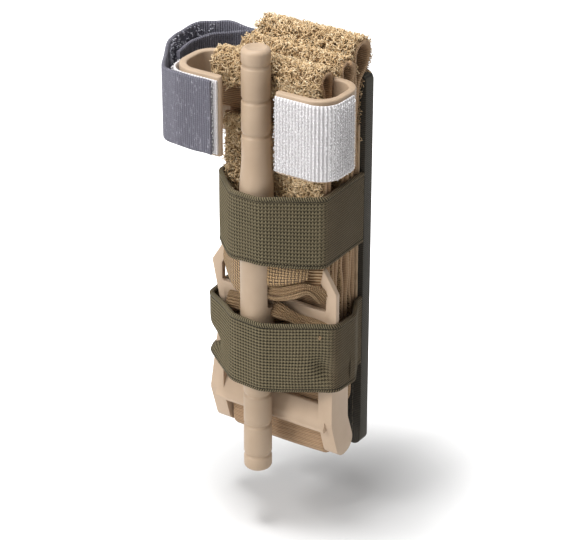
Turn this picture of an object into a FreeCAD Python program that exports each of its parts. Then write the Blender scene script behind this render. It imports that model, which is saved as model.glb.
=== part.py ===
"""Windlass tourniquet, folded flat and carried in an elastic-band belt holder.

Frame: millimetres, +Z up, +X to the right seen from the front, +Y to the rear.
The origin is the centre of the holder panel's back face, where a belt runs.
"""
import FreeCAD, Part
import math
import os

Vector = FreeCAD.Vector

# ---------------------------------------------------------------- dimensions
# Every driving size, as (alias, millimetres, what it is).
DIMENSIONS = [
    ("clearance", 0.3, "gap between neighbours on different bodies"),
    ("panel_width", 41.2, "holder panel, over its binding"),
    ("panel_height", 135.0, "holder panel, over its binding"),
    ("panel_corner", 3.0, "corner radius of the panel"),
    ("fabric_thick", 0.9, "woven fabric of the panel"),
    ("stiffener_thick", 1.8, "plastic sheet inside the panel"),
    ("stiffener_inset", 1.2, "stiffener edge inside the fabric edge"),
    ("binding_thick", 0.5, "binding tape"),
    ("binding_lip", 4.2, "binding tape over the panel face"),
    ("rod_length", 150.0, "windlass rod"),
    ("rod_end_dia", 9.4, "windlass rod at its grips"),
    ("rod_mid_dia", 11.0, "windlass rod around its slot"),
    ("rod_mid_length", 54.0, "full-diameter middle of the rod"),
    ("rod_taper", 12.0, "taper between middle and grip"),
    ("rod_edge", 1.3, "rounded edge at the rod's ends"),
    ("groove_first", 5.5, "first grip groove from the rod's end"),
    ("groove_pitch", 11.5, "spacing of the grip grooves"),
    ("groove_width", 1.6, "grip groove"),
    ("groove_depth", 0.45, "grip groove"),
    ("slot_length", 27.0, "ribbon slot along the rod"),
    ("slot_width", 3.4, "ribbon slot across the rod"),
    ("rod_rise", 5.5, "rod centre above the panel centre"),
    ("rod_reach", 27.5, "rod axis in front of the panel face, or more for a thick stack"),
    ("rod_shift", -2.6, "rod axis, across from the panel's middle"),
    ("clip_width", 59.6, "windlass clip over both arms"),
    ("clip_height", 27.0, "windlass clip arms"),
    ("clip_wall", 2.4, "wall of the clip"),
    ("clip_shift", 1.6, "middle of the clip, across from the rod"),
    ("clip_mouth", 20.6, "opening between the clip tips"),
    ("clip_front_radius", 7.5, "mid-wall bend at the front of an arm"),
    ("clip_back_radius", 6.5, "mid-wall bend at the back of an arm"),
    ("clip_rise", 38.4, "bottom of the clip arms above the rod centre"),
    ("tongue_width", 30.0, "tongue of the clip behind the band"),
    ("tongue_length", 29.0, "tongue below the arms"),
    ("tape_height", 25.0, "hook tape and time strap"),
    ("hook_thick", 1.2, "hook tape with its hooks"),
    ("strap_thick", 1.3, "time strap"),
    ("band_width", 38.0, "outer band"),
    ("band_thick", 2.2, "outer band with its loop pile"),
    ("band_gap", 0.4, "gap behind the front fold"),
    ("fold_gap", 0.3, "least gap between the layers behind it"),
    ("front_fold_bottom", 8.0, "lower end of the front layer above the rod centre"),
    ("front_fold_top", 67.0, "front fold above the rod centre"),
    ("short_fold_top", 4.0, "short inner fold above the rod centre"),
    ("short_fold_bottom", 28.8, "short folds below the rod centre"),
    ("small_loop_top", 68.0, "middle loop above the rod centre"),
    ("rear_loop_rise", 10.0, "rear loop above the panel's top edge"),
    ("rear_loop_neck", 5.8, "neck of the rear loop below its top"),
    ("rear_loop_depth", 4.2, "rear loop behind the last layer"),
    ("rear_loop_radius", 3.3, "bends at the top of the rear loop"),
    ("long_fold_bottom", 52.0, "long folds below the rod centre"),
    ("hook_tape_length", 90.0, "hook tape at the running end of the band"),
    ("hook_tape_thick", 0.9, "hook tape at the running end of the band"),
    ("plate_width", 48.5, "base plate"),
    ("plate_height", 30.0, "base plate"),
    ("plate_shift", 2.2, "middle of the base plate, across from the rod"),
    ("plate_gap", 0.5, "base plate behind the rod"),
    ("plate_cover", 1.4, "base plate up behind the upper elastic"),
    ("plate_thick", 2.0, "base plate"),
    ("plate_stile", 4.0, "side of the base plate"),
    ("plate_bar", 6.0, "bar under the rod"),
    ("plate_rail", 2.4, "top rail of the base plate"),
    ("plate_window", 12.6, "upper window of the base plate"),
    ("plate_lower_window", 6.0, "lower window of the base plate"),
    ("plate_chamfer", 5.0, "cut corner, across"),
    ("plate_chamfer_drop", 8.0, "cut corner, down"),
    ("ribbon_width", 22.0, "inner band"),
    ("ribbon_thick", 1.4, "inner band"),
    ("ribbon_leg", 15.4, "ends of the inner band's loop from the rod's middle"),
    ("buckle_width", 48.6, "buckle over its cheeks"),
    ("cheek_width", 5.3, "buckle cheek"),
    ("cheek_depth", 9.8, "buckle cheek, front to back"),
    ("buckle_height", 38.0, "buckle cheek"),
    ("buckle_shift", 0.7, "middle of the buckle, across from the rod"),
    ("buckle_gap", 3.6, "buckle below the base plate"),
    ("buckle_lean", 4.6, "foot of the cheek behind its front"),
    ("ledge_reach", 1.2, "lip of the ledge bar in front of the cheeks"),
    ("ledge_height", 8.7, "slanted face of the ledge bar"),
    ("bar_drop", 0.7, "band bar above the foot of the cheeks"),
    ("buckle_bar_dia", 5.0, "bar that carries the band's fixed end"),
    ("loop_thick", 1.6, "fixed end of the band round its bar"),
    ("elastic_width", 25.0, "elastic bands"),
    ("elastic_thick", 1.4, "elastic bands"),
    ("upper_band_rise", 3.4, "bottom of the upper band above the rod centre"),
    ("lower_band_drop", 41.2, "bottom of the lower band below the rod centre"),
    ("seam_half", 19.8, "seams of the elastic bands from the middle of the panel"),
    ("nose_half", 5.4, "flat front of the elastic bands to each side of the rod"),
    ("belt_strap_width", 25.0, "belt strap webbing"),
    ("belt_strap_thick", 1.6, "belt strap webbing"),
    ("belt_gap", 6.4, "room for the belt behind the panel"),
    ("belt_height", 60.0, "widest belt that fits"),
    ("snap_drop", 56.0, "snap below the panel centre"),
    ("snap_dia", 12.5, "snap cap"),
    ("snap_stud_dia", 4.8, "snap stud"),
    ("snap_height", 3.2, "snap between panel and strap"),
]

doc = FreeCAD.newDocument("Tourniquet")
sheet = doc.addObject("Spreadsheet::Sheet", "Sizes")
for row, (alias, size, note) in enumerate(DIMENSIONS, start=1):
    sheet.set("A%d" % row, alias)
    sheet.set("B%d" % row, str(size))
    sheet.setAlias("B%d" % row, alias)
    sheet.set("C%d" % row, note)
doc.recompute()


def size(alias):
    """A driving size, read from the sheet, in millimetres."""
    return float(getattr(sheet, alias))


# ------------------------------------------------------------- derived places
CLEAR = size("clearance")
PANEL_THICK = 2 * size("fabric_thick") + size("stiffener_thick")
PANEL_FACE = -PANEL_THICK                        # y of the panel's front face
LIP_FACE = PANEL_FACE - size("binding_thick")    # y of the binding's front
ROD_Z = size("rod_rise")
ROD_X = size("rod_shift")
ROD_MID = size("rod_mid_dia") / 2
ROD_END = size("rod_end_dia") / 2

FOLDS = 6                                        # steps from the second layer to the last
HAIR = 0.05                                      # between faces that lie on each other
BAND_STEP = size("band_thick") + size("band_gap")
BAND_HALF = size("band_width") / 2
TAPE_BACK = LIP_FACE - CLEAR                     # back of the band's hook tape
LAST_LAYER = TAPE_BACK - size("hook_tape_thick") - size("band_thick") / 2 - HAIR
STACK_FRONT = LAST_LAYER - FOLDS * (size("band_thick") + size("fold_gap"))
ROD_Y = min(PANEL_FACE - size("rod_reach"),
            STACK_FRONT - BAND_STEP - size("plate_thick") / 2 - size("plate_gap") - ROD_MID)

PLATE_FRONT = ROD_Y + ROD_MID + size("plate_gap")
PLATE_TOP = ROD_Z + size("upper_band_rise") - size("plate_cover")
PLATE_BOTTOM = PLATE_TOP - size("plate_height")
AT_ROD = "Sizes.rod_shift"                       # places across, as sheet expressions
AT_CLIP = "Sizes.rod_shift + Sizes.clip_shift"
AT_PLATE = "Sizes.rod_shift + Sizes.plate_shift"
AT_BUCKLE = "Sizes.rod_shift + Sizes.buckle_shift"

CLIP_BOTTOM = ROD_Z + size("clip_rise")
CLIP_TOP = CLIP_BOTTOM + size("clip_height")
ARM_FRONT = ROD_Y - ROD_END - CLEAR - size("clip_wall") / 2     # mid-wall
FIRST_LAYER = PLATE_FRONT + size("plate_thick") / 2
SECOND_LAYER = FIRST_LAYER + BAND_STEP
CLIP_BASE = SECOND_LAYER + size("band_thick") / 2 + 0.5 + size("clip_wall") / 2


# ------------------------------------------------------------------ outlines
def unit(a, b):
    """Unit direction from a to b and their distance."""
    dx, dy = b[0] - a[0], b[1] - a[1]
    length = math.hypot(dx, dy)
    return (dx / length, dy / length), length


def path_pieces(points, radii):
    """Straight runs and tangent arcs of a route.

    A piece is ("line", start, end) or ("arc", centre, radius, from, to, turn)
    with its angles in radians and turn +1 to the left or -1 to the right.
    """
    pieces = []
    here = points[0]
    for index in range(1, len(points) - 1):
        corner = points[index]
        into, _ = unit(here, corner)
        out, _ = unit(corner, points[index + 1])
        cross = into[0] * out[1] - into[1] * out[0]
        dot = max(-1.0, min(1.0, into[0] * out[0] + into[1] * out[1]))
        if dot > 0.999999:
            continue
        turn = 1 if cross > 0 else -1
        radius = radii[index - 1]
        cut = radius * math.tan(math.acos(dot) / 2)
        start = (corner[0] - into[0] * cut, corner[1] - into[1] * cut)
        end = (corner[0] + out[0] * cut, corner[1] + out[1] * cut)
        centre = (start[0] - turn * into[1] * radius, start[1] + turn * into[0] * radius)
        if math.hypot(start[0] - here[0], start[1] - here[1]) > 1e-6:
            pieces.append(("line", here, start))
        first = math.atan2(start[1] - centre[1], start[0] - centre[0])
        last = math.atan2(end[1] - centre[1], end[0] - centre[0])
        pieces.append(("arc", centre, radius, first, last, turn))
        here = end
    if math.hypot(points[-1][0] - here[0], points[-1][1] - here[1]) > 1e-6:
        pieces.append(("line", here, points[-1]))
    return pieces


def offset_side(pieces, side):
    """Edges of a route moved sideways: side > 0 lies to the left of it."""
    edges = []
    for piece in pieces:
        if piece[0] == "line":
            (dx, dy), _ = unit(piece[1], piece[2])
            edges.append([(p[0] - dy * side, p[1] + dx * side) for p in piece[1:]])
        else:
            _, centre, radius, first, last, turn = piece
            edges.append((centre, radius - turn * side, first, last, turn))
    return edges


def edge_ends(edge):
    """First and last point of an offset edge."""
    if isinstance(edge, list):
        return edge[0], edge[1]
    centre, radius, first, last, _ = edge
    return tuple((centre[0] + radius * math.cos(a), centre[1] + radius * math.sin(a))
                 for a in (first, last))


def to_geometry(edge):
    """A sketch line or arc from an offset edge."""
    if isinstance(edge, list):
        return Part.LineSegment(Vector(*edge[0], 0), Vector(*edge[1], 0))
    centre, radius, first, last, turn = edge
    start, stop = (first, last) if turn > 0 else (last, first)
    while stop < start:
        stop += 2 * math.pi
    circle = Part.Circle(Vector(*centre, 0), Vector(0, 0, 1), radius)
    return Part.ArcOfCircle(circle, start, stop)


def strip(points, radii, thick, shift=0.0):
    """Closed outline of a strip of one thickness along a route.

    shift moves the whole strip sideways, to the left of the route.
    """
    pieces = path_pieces(points, radii)
    left = offset_side(pieces, shift + thick / 2)
    right = offset_side(pieces, shift - thick / 2)
    outline = [to_geometry(edge) for edge in left + right]
    for end, pick in ((0, 0), (-1, 1)):
        a = edge_ends(left[end])[pick]
        b = edge_ends(right[end])[pick]
        outline.append(Part.LineSegment(Vector(*a, 0), Vector(*b, 0)))
    return outline


def polygon(points, radii=None):
    """Closed outline through corner points, each with a rounding radius."""
    count = len(points)
    radii = radii or [0.0] * count
    middle = ((points[0][0] + points[-1][0]) / 2, (points[0][1] + points[-1][1]) / 2)
    route = [middle] + list(points) + [middle]
    outline = []
    if not any(radii):
        loop = list(points) + [points[0]]
        return [Part.LineSegment(Vector(*a, 0), Vector(*b, 0)) for a, b in zip(loop, loop[1:])]
    for edge in offset_side(path_pieces(route, [max(r, 1e-3) for r in radii]), 0.0):
        outline.append(to_geometry(edge))
    return outline


def rectangle(left, bottom, right, top, radius=0.0):
    """Closed outline of a rectangle, with rounded corners if radius > 0."""
    corners = [(left, bottom), (right, bottom), (right, top), (left, top)]
    return polygon(corners, [radius] * 4 if radius else None)


# ------------------------------------------------------------------ features
PLANE_OF = {"plan": "XY_Plane", "front": "XZ_Plane", "side": "YZ_Plane"}


def new_body(label):
    """A PartDesign body; its label names the sub-part."""
    body = doc.addObject("PartDesign::Body", label)
    body.Label = label
    return body


def add_sketch(body, view, outline, name):
    """A sketch on one of the body's origin planes."""
    sketch = body.newObject("Sketcher::SketchObject", name)
    plane = [f for f in body.Origin.OriginFeatures if f.Role == PLANE_OF[view]][0]
    sketch.AttachmentSupport = (plane, [""])
    sketch.MapMode = "FlatFace"
    sketch.addGeometry(outline, False)
    return sketch


def pad(body, view, outline, length, name="Pad", start=None):
    """Pad an outline by a length, a sheet expression; start offsets its plane."""
    sketch = add_sketch(body, view, outline, name + "Sketch")
    if start is not None:
        sketch.AttachmentOffset = FreeCAD.Placement(Vector(0, 0, start), FreeCAD.Rotation())
    feature = body.newObject("PartDesign::Pad", name)
    feature.Profile = sketch
    feature.setExpression("Length", length)
    feature.Reversed = view == "front"
    sketch.Visibility = False
    return feature


def pocket(body, view, outline, name, reverse=False):
    """Cut an outline right through the body, and check that it cut."""
    doc.recompute()
    before = body.Shape.Volume
    sketch = add_sketch(body, view, outline, name + "Sketch")
    feature = body.newObject("PartDesign::Pocket", name)
    feature.Profile = sketch
    feature.Type = "ThroughAll"
    feature.Midplane = True
    feature.Reversed = reverse
    doc.recompute()
    if body.Shape.Volume >= before - 1e-6:
        raise RuntimeError("%s: pocket %s cut nothing" % (body.Label, name))
    return feature


def set_across(body, expression):
    """Bind the body's place along X to a sheet expression."""
    body.setExpression("Placement.Base.x", expression)


def strip_upright(label, route, radii, thick, height, bottom, shift=0.0):
    """A strip on edge: its route lies in plan and it is padded upwards."""
    body = new_body(label)
    pad(body, "plan", strip(route, radii, thick, shift), height)
    body.Placement.Base = Vector(0, 0, bottom)
    return body


def strip_across(label, route, radii, thick, width, middle="0"):
    """A strip folded in side view and padded across, centred on its middle."""
    body = new_body(label)
    pad(body, "side", strip(route, radii, thick), width)
    set_across(body, "%s - (%s) / 2" % (middle, width))
    return body


# -------------------------------------------------------------- holder panel
def build_panel():
    """Two fabrics with a stiffener between them and a binding round the edge."""
    edge = size("binding_thick") + 0.1
    half_x = size("panel_width") / 2 - edge
    half_z = size("panel_height") / 2 - edge
    corner = size("panel_corner") - edge
    for label, front in (("panel_front_fabric", PANEL_FACE), ("panel_back_fabric", -size("fabric_thick"))):
        body = new_body(label)
        pad(body, "front", rectangle(-half_x, -half_z, half_x, half_z, corner), "Sizes.fabric_thick")
        body.Placement.Base = Vector(0, front, 0)
        cut_snap_hole(body)
    inset = size("stiffener_inset")
    body = new_body("panel_stiffener")
    outline = rectangle(inset - half_x, inset - half_z, half_x - inset, half_z - inset, corner - inset)
    pad(body, "front", outline, "Sizes.stiffener_thick")
    body.Placement.Base = Vector(0, PANEL_FACE + size("fabric_thick"), 0)
    cut_snap_hole(body)


def cut_snap_hole(body, across=0.0):
    """A round hole for the snap; across is where the part's middle lies in its body."""
    circle = Part.Circle(Vector(across, -size("snap_drop"), 0), Vector(0, 0, 1), size("snap_stud_dia") / 2)
    pocket(body, "front", [circle], "SnapHole")


def build_binding():
    """Tape folded over the panel's edge: a channel that runs all the way round."""
    thick = size("binding_thick")
    half_x, half_z = size("panel_width") / 2, size("panel_height") / 2
    corner, lip = size("panel_corner"), size("binding_lip")
    body = new_body("panel_binding")
    outer = rectangle(-half_x, -half_z, half_x, half_z, corner)
    window = rectangle(lip - half_x, lip - half_z, half_x - lip, half_z - lip, 1.0)
    pad(body, "front", outer, "Sizes.fabric_thick * 2 + Sizes.stiffener_thick + Sizes.binding_thick * 2")
    pocket(body, "front", window, "Window")
    groove = add_sketch(body, "front", rectangle(thick - half_x, thick - half_z, half_x - thick,
                                                 half_z - thick, corner - thick), "GrooveSketch")
    groove.AttachmentOffset = FreeCAD.Placement(Vector(0, 0, -thick), FreeCAD.Rotation())
    cut = body.newObject("PartDesign::Pocket", "Groove")
    cut.Profile = groove
    cut.setExpression("Length", "Sizes.fabric_thick * 2 + Sizes.stiffener_thick")
    before = body.Shape.Volume
    doc.recompute()
    if body.Shape.Volume >= before:
        raise RuntimeError("panel_binding: the groove cut nothing")
    body.Placement.Base = Vector(0, LIP_FACE, 0)


# ------------------------------------------------------------- elastic bands
def elastic_route(left, right, shoulder, turn_in):
    """Plan route of an elastic band, from its left seam round the rod to the right."""
    nose = ROD_Y - ROD_MID - CLEAR - size("elastic_thick") / 2
    end = LIP_FACE - HAIR
    seam, flat = size("seam_half"), size("nose_half")
    return [(-seam, end), (-seam, end - 2.0), (left, turn_in), (left, shoulder), (ROD_X - flat, nose),
            (ROD_X + flat, nose), (right, shoulder), (right, turn_in), (seam, end - 2.0), (seam, end)]


def build_elastic_bands():
    """Two elastic loops, sewn to the panel's edges, that hold the folded pack."""
    thick = size("elastic_thick")
    side = max(BAND_HALF + 0.1 + thick / 2, size("seam_half"))
    shoulder = FIRST_LAYER - size("plate_thick") / 2 - 1.4
    upper = elastic_route(-side, side, shoulder, LIP_FACE - 6.0)
    strip_upright("upper_elastic_band", upper, [1, 1, 3, 4, 4, 3, 1, 1], thick,
                  "Sizes.elastic_width", ROD_Z + size("upper_band_rise"))
    spare = CLEAR + thick / 2 + 0.1
    plate, buckle = size("plate_width") / 2, size("buckle_width") / 2
    plate_x, buckle_x = ROD_X + size("plate_shift"), ROD_X + size("buckle_shift")
    left = min(plate_x - plate, buckle_x - buckle) - spare
    right = max(plate_x + plate, buckle_x + buckle) + spare
    lower = elastic_route(left, right, PLATE_FRONT - 0.6, LIP_FACE - 10.4)
    strip_upright("lower_elastic_band", lower, [1, 3, 2, 4, 4, 2, 3, 1], thick,
                  "Sizes.elastic_width", ROD_Z - size("lower_band_drop"))


# --------------------------------------------------------------- windlass rod
def build_rod():
    """Turned-looking rod: thick middle, tapered shoulders, grooved grips, slot."""
    half = size("rod_length") / 2
    middle = size("rod_mid_length") / 2
    shoulder = middle + size("rod_taper")
    edge = size("rod_edge")
    width, depth = size("groove_width") / 2, size("groove_depth")
    grooves = [half - size("groove_first") - size("groove_pitch") * n for n in range(3)]
    profile = [(0, half), (ROD_END - edge, half), (ROD_END - edge * 0.3, half - edge * 0.3),
               (ROD_END, half - edge)]
    for level in grooves:
        profile += [(ROD_END, level + width), (ROD_END - depth, level + width * 0.35),
                    (ROD_END - depth, level - width * 0.35), (ROD_END, level - width)]
    profile += [(ROD_END, shoulder), (ROD_MID, middle)]
    outline = profile + [(r, -level) for r, level in reversed(profile)]
    body = new_body("windlass_rod")
    sketch = add_sketch(body, "front", polygon(outline), "Profile")
    turned = body.newObject("PartDesign::Revolution", "Turned")
    turned.Profile = sketch
    turned.ReferenceAxis = (sketch, ["V_Axis"])
    turned.Angle = 360
    sketch.Visibility = False
    length, across = size("slot_length") / 2, size("slot_width") / 2
    pocket(body, "side", rectangle(-across, -length, across, length, across * 0.95), "RibbonSlot")
    body.Placement.Base = Vector(0, ROD_Y, ROD_Z)
    set_across(body, AT_ROD)


# -------------------------------------------------------------- windlass clip
def clip_route():
    """Mid-wall plan route of the clip, from the left tip round to the right."""
    tip = size("clip_mouth") / 2
    side = (size("clip_width") - size("clip_wall")) / 2
    return [(-tip, ARM_FRONT), (-side, ARM_FRONT), (-side, CLIP_BASE),
            (side, CLIP_BASE), (side, ARM_FRONT), (tip, ARM_FRONT)]


def clip_radii():
    """Bend radii along clip_route."""
    front, back = size("clip_front_radius"), size("clip_back_radius")
    return [front, back, back, front]


def build_clip():
    """C-shaped clip that locks the rod, with a tongue that backs the band."""
    body = new_body("windlass_clip")
    wall = size("clip_wall")
    pad(body, "plan", strip(clip_route(), clip_radii(), wall), "Sizes.clip_height")
    half = size("tongue_width") / 2
    outline = rectangle(-half, CLIP_BASE - wall / 2, half, CLIP_BASE + wall / 2)
    pad(body, "plan", outline, "Sizes.tongue_length + Sizes.clip_height / 2", "Tongue",
        -size("tongue_length"))
    doc.recompute()
    tips = [name for name, edge in edges_of(body)
            if edge.BoundBox.ZMax - edge.BoundBox.ZMin > size("clip_height") - 1e-6
            and abs(abs(edge.BoundBox.XMin) - size("clip_mouth") / 2) < 1e-6]
    round_off(body, tips, min(1.1, wall * 0.45), "TipRound")
    body.Placement.Base = Vector(0, 0, CLIP_BOTTOM)
    set_across(body, AT_CLIP)


def edges_of(body):
    """Names and edges of a body's shape."""
    return [("Edge%d" % (i + 1), edge) for i, edge in enumerate(body.Shape.Edges)]


def round_off(body, names, radius, label):
    """Fillet the named edges of a body."""
    if not names:
        raise RuntimeError("%s: no edge for %s" % (body.Label, label))
    base = body.Tip
    feature = body.newObject("PartDesign::Fillet", label)
    feature.Base = (base, names)
    feature.Radius = radius
    doc.recompute()


def build_clip_covers():
    """Hook tape on both arms and the stuck length of the time strap."""
    wall, hook, strap = size("clip_wall"), size("hook_thick"), size("strap_thick")
    route, radii = clip_route(), clip_radii()
    rise = CLIP_BOTTOM + (size("clip_height") - size("tape_height")) / 2
    side = route[1][0]
    back = CLIP_BASE - size("clip_back_radius")
    out = wall / 2 + 0.05 + hook / 2
    left = [(route[0][0] - 0.6, ARM_FRONT), (side, ARM_FRONT), (side, back)]
    right = [(-x, y) for x, y in reversed(left)]
    covers = []
    for label, patch in (("clip_hook_patch_left", left), ("clip_hook_patch_right", right)):
        covers.append(strip_upright(label, patch, radii[:1], hook, "Sizes.tape_height", rise, out))
    over = wall / 2 + 0.1 + hook + strap / 2
    start = route[0][0] - 2.6
    bend = side + size("clip_front_radius") * 0.55
    stuck = [(start, ARM_FRONT), (bend, ARM_FRONT)]
    covers.append(strip_upright("time_strap_base", stuck, [], strap, "Sizes.tape_height", rise, over))
    front = ARM_FRONT - over
    tail = [(bend - 0.4, front), (side - 4.2, front + 3.2), (side - 15.5, front + 22),
            (side - 18.5, front + 38), (side - 9, front + 45.5), (side + 3.5, front + 45.5),
            (side - 3.0, front + 39.0), (side - 9.0, front + 27), (side - 7.6, front + 16)]
    covers.append(strip_upright("time_strap_tail", tail, [6, 12, 9, 7, 1.0, 12, 10], strap,
                                "Sizes.tape_height", rise))
    for cover in covers:
        set_across(cover, AT_CLIP)


# ----------------------------------------------------------------- outer band
def build_outer_band():
    """The long band, folded to and fro behind the rod, and its hook tape."""
    first, second = FIRST_LAYER, SECOND_LAYER
    last = LAST_LAYER
    step = (last - second) / FOLDS
    layers = [second + step * n for n in range(FOLDS + 1)]
    front_bottom = ROD_Z + size("front_fold_bottom")
    front_top = ROD_Z + size("front_fold_top")
    short_bottom = ROD_Z - size("short_fold_bottom")
    short_top = ROD_Z + size("short_fold_top")
    long_bottom = ROD_Z - size("long_fold_bottom")
    small_top = ROD_Z + size("small_loop_top")
    loop_top = size("panel_height") / 2 + size("rear_loop_rise")
    loop_back = last + size("rear_loop_depth")
    neck = loop_top - size("rear_loop_neck")
    route = [(first, front_bottom), (first, front_top), (second, front_top),
             (second, short_bottom), (layers[1], short_bottom),
             (layers[1], short_top), (layers[2], short_top),
             (layers[2], short_bottom - 1.0), (layers[3], short_bottom - 1.0),
             (layers[3], small_top), (layers[4], small_top),
             (layers[4], long_bottom), (layers[5], long_bottom),
             (layers[5], loop_top), (loop_back, loop_top),
             (loop_back, neck), (last, neck - 2.8), (last, long_bottom + 4.0)]
    fold = BAND_STEP / 2
    half_step = step / 2
    bend = size("rear_loop_radius")
    radii = [fold] * 2 + [half_step] * 10 + [bend, bend, 1.6, 2.0]
    strip_across("outer_band", route, radii, size("band_thick"), "Sizes.band_width")
    body = new_body("band_hook_tape")
    length = size("hook_tape_length")
    outline = rectangle(-BAND_HALF, -length / 2, BAND_HALF, length / 2)
    pad(body, "front", outline, "Sizes.hook_tape_thick")
    body.Placement.Base = Vector(0, TAPE_BACK - size("hook_tape_thick"), ROD_Z)


# ------------------------------------------------------------------ base plate
def build_base_plate():
    """Flat frame under the rod, with a bar between its two windows."""
    half = size("plate_width") / 2
    across, drop = size("plate_chamfer"), size("plate_chamfer_drop")
    outline = [(-half, -size("plate_height")), (half, -size("plate_height")), (half, -drop),
               (half - across, 0), (across - half, 0), (-half, -drop)]
    body = new_body("base_plate")
    pad(body, "front", polygon(outline, [2.0, 2.0, 1.5, 1.5, 1.5, 1.5]), "Sizes.plate_thick")
    inner = half - size("plate_stile")
    top = -size("plate_rail")
    bar_top = top - size("plate_window")
    bar_bottom = bar_top - size("plate_bar")
    slot_bottom = bar_bottom - size("plate_lower_window")
    shoulder = inner - 4.0
    window = [(-inner, bar_top), (inner, bar_top), (inner, top - 6.0), (shoulder, top),
              (-shoulder, top), (-inner, top - 6.0)]
    pocket(body, "front", polygon(window, [1.0] * 6), "Window")
    pocket(body, "front", rectangle(-inner, slot_bottom, inner, bar_bottom, 1.0), "LowerWindow")
    body.Placement.Base = Vector(0, PLATE_FRONT, PLATE_TOP)
    set_across(body, AT_PLATE)
    gap = CLEAR
    front = PLATE_FRONT + 0.1
    runs = (("inner_band_upper_run", PLATE_TOP + bar_top + gap, PLATE_TOP + top - gap, shoulder - gap),
            ("inner_band_lower_run", PLATE_TOP + slot_bottom + gap, PLATE_TOP + bar_bottom - gap,
             inner - gap))
    for label, bottom, upper, reach in runs:
        run = new_body(label)
        pad(run, "front", rectangle(-reach, bottom, reach, upper, 0.8), "Sizes.ribbon_thick")
        run.Placement.Base = Vector(0, front, 0)
        set_across(run, AT_PLATE)


# ---------------------------------------------------------------------- buckle
def build_buckle():
    """Moulded buckle: two leaning cheeks, a top bar, a ledge bar and a round bar."""
    half, cheek = size("buckle_width") / 2, size("cheek_width")
    depth, height = size("cheek_depth"), size("buckle_height")
    front = PLATE_FRONT + 0.3
    top = PLATE_BOTTOM - size("buckle_gap")
    lean = size("buckle_lean")
    knee = top - height * 0.62
    bottom = top - height
    outline = [(front, top), (front, knee), (front + lean, bottom), (front + lean + depth, bottom + 1.6),
               (front + depth, knee), (front + depth, top)]
    body = new_body("buckle_frame")
    radii = [2.0, 6.0, 4.4, 4.4, 6.0, 2.0]
    pad(body, "side", polygon(outline, radii), "Sizes.cheek_width", "LeftCheek", -half)
    bar_radius = size("buckle_bar_dia") / 2
    bar_y = front + lean + depth / 2 - 0.6
    bar_z = bottom + bar_radius + size("bar_drop")
    lip = front - size("ledge_reach")
    crown = knee + size("ledge_height") - 2.8
    bars = [
        ("TopBar", polygon([(front + 1.0, top - 6.0), (front + 4.6, top - 6.0), (front + 4.6, top - 1.0),
                            (front + 1.0, top - 1.0)], [0.8] * 4)),
        ("LedgeBar", polygon([(lip, knee - 1.6), (lip + 0.4, knee - 2.8), (front + 3.0, knee - 2.8),
                              (front + 4.2, crown), (front + 2.2, crown)], [0.5, 0.3, 0.8, 0.8, 0.8])),
        ("RoundBar", [Part.Circle(Vector(bar_y, bar_z, 0), Vector(0, 0, 1), bar_radius)]),
    ]
    for name, shape in bars:
        pad(body, "side", shape, "Sizes.buckle_width - Sizes.cheek_width", name, -half + cheek / 2)
    pad(body, "side", polygon(outline, radii), "Sizes.cheek_width", "RightCheek", half - cheek)
    reach = bar_radius + CLEAR + size("loop_thick") / 2
    loop = [(bar_y - reach, top - 8.0), (bar_y - reach, bar_z - reach), (bar_y + reach, bar_z - reach),
            (bar_y + reach, bar_z + 5.0)]
    strip_across("buckle_band_loop", loop, [reach, reach], size("loop_thick"),
                 "(Sizes.buckle_width - Sizes.cheek_width * 2 - Sizes.clearance * 4)", AT_BUCKLE)
    set_across(body, AT_BUCKLE)


# ------------------------------------------------------------- inner band loop
def build_ribbon_loop():
    """The length of inner band that runs through the rod's slot."""
    legs = PLATE_FRONT - 0.4 - size("ribbon_thick") / 2
    leg = size("ribbon_leg")
    route = [(-leg, legs), (-10.8, legs), (-6.4, ROD_Y), (6.4, ROD_Y), (10.8, legs), (leg, legs)]
    loop = strip_upright("inner_band_loop", route, [3, 3, 3, 3], size("ribbon_thick"), "Sizes.ribbon_width",
                         ROD_Z - size("ribbon_width") / 2)
    set_across(loop, AT_ROD)


# -------------------------------------------------------------------- belt strap
def build_belt_strap():
    """Webbing that closes round the belt: sewn at the top, snapped at the bottom."""
    thick = size("belt_strap_thick")
    hinge = belt_hinge()
    root_top = size("panel_height") / 2 - size("binding_lip") - 1.5
    body = new_body("belt_strap_root")
    half = size("belt_strap_width") / 2
    pad(body, "front", rectangle(-half, hinge + 2.3, half, root_top, 1.0), "Sizes.belt_strap_thick")
    flat = size("belt_gap") + thick / 2
    low = size("snap_height") + thick / 2
    turn = hinge - 6.0
    bottom_turn = turn - size("belt_height")
    route = [(1.7, hinge - 0.9), (flat, turn), (flat, bottom_turn), (low, bottom_turn - 6.5),
             (low, -size("snap_drop") - 8.5)]
    strap = strip_across("belt_strap", route, [3.0, 3.0, 3.0], thick, "Sizes.belt_strap_width")
    cut_snap_hole(strap, half)


def belt_hinge():
    """Height of the line about which the belt strap swings."""
    return -size("snap_drop") + 9.5 + 6.5 + size("belt_height") + 6.0


def turned_snap(label, profile, centre_y):
    """A turned snap piece: profile is (radius, distance behind centre_y)."""
    body = new_body(label)
    sketch = add_sketch(body, "plan", polygon(profile), "Profile")
    turned = body.newObject("PartDesign::Revolution", "Turned")
    turned.Profile = sketch
    turned.ReferenceAxis = (sketch, ["V_Axis"])
    turned.Angle = 360
    body.Placement.Base = Vector(0, centre_y, -size("snap_drop"))


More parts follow.
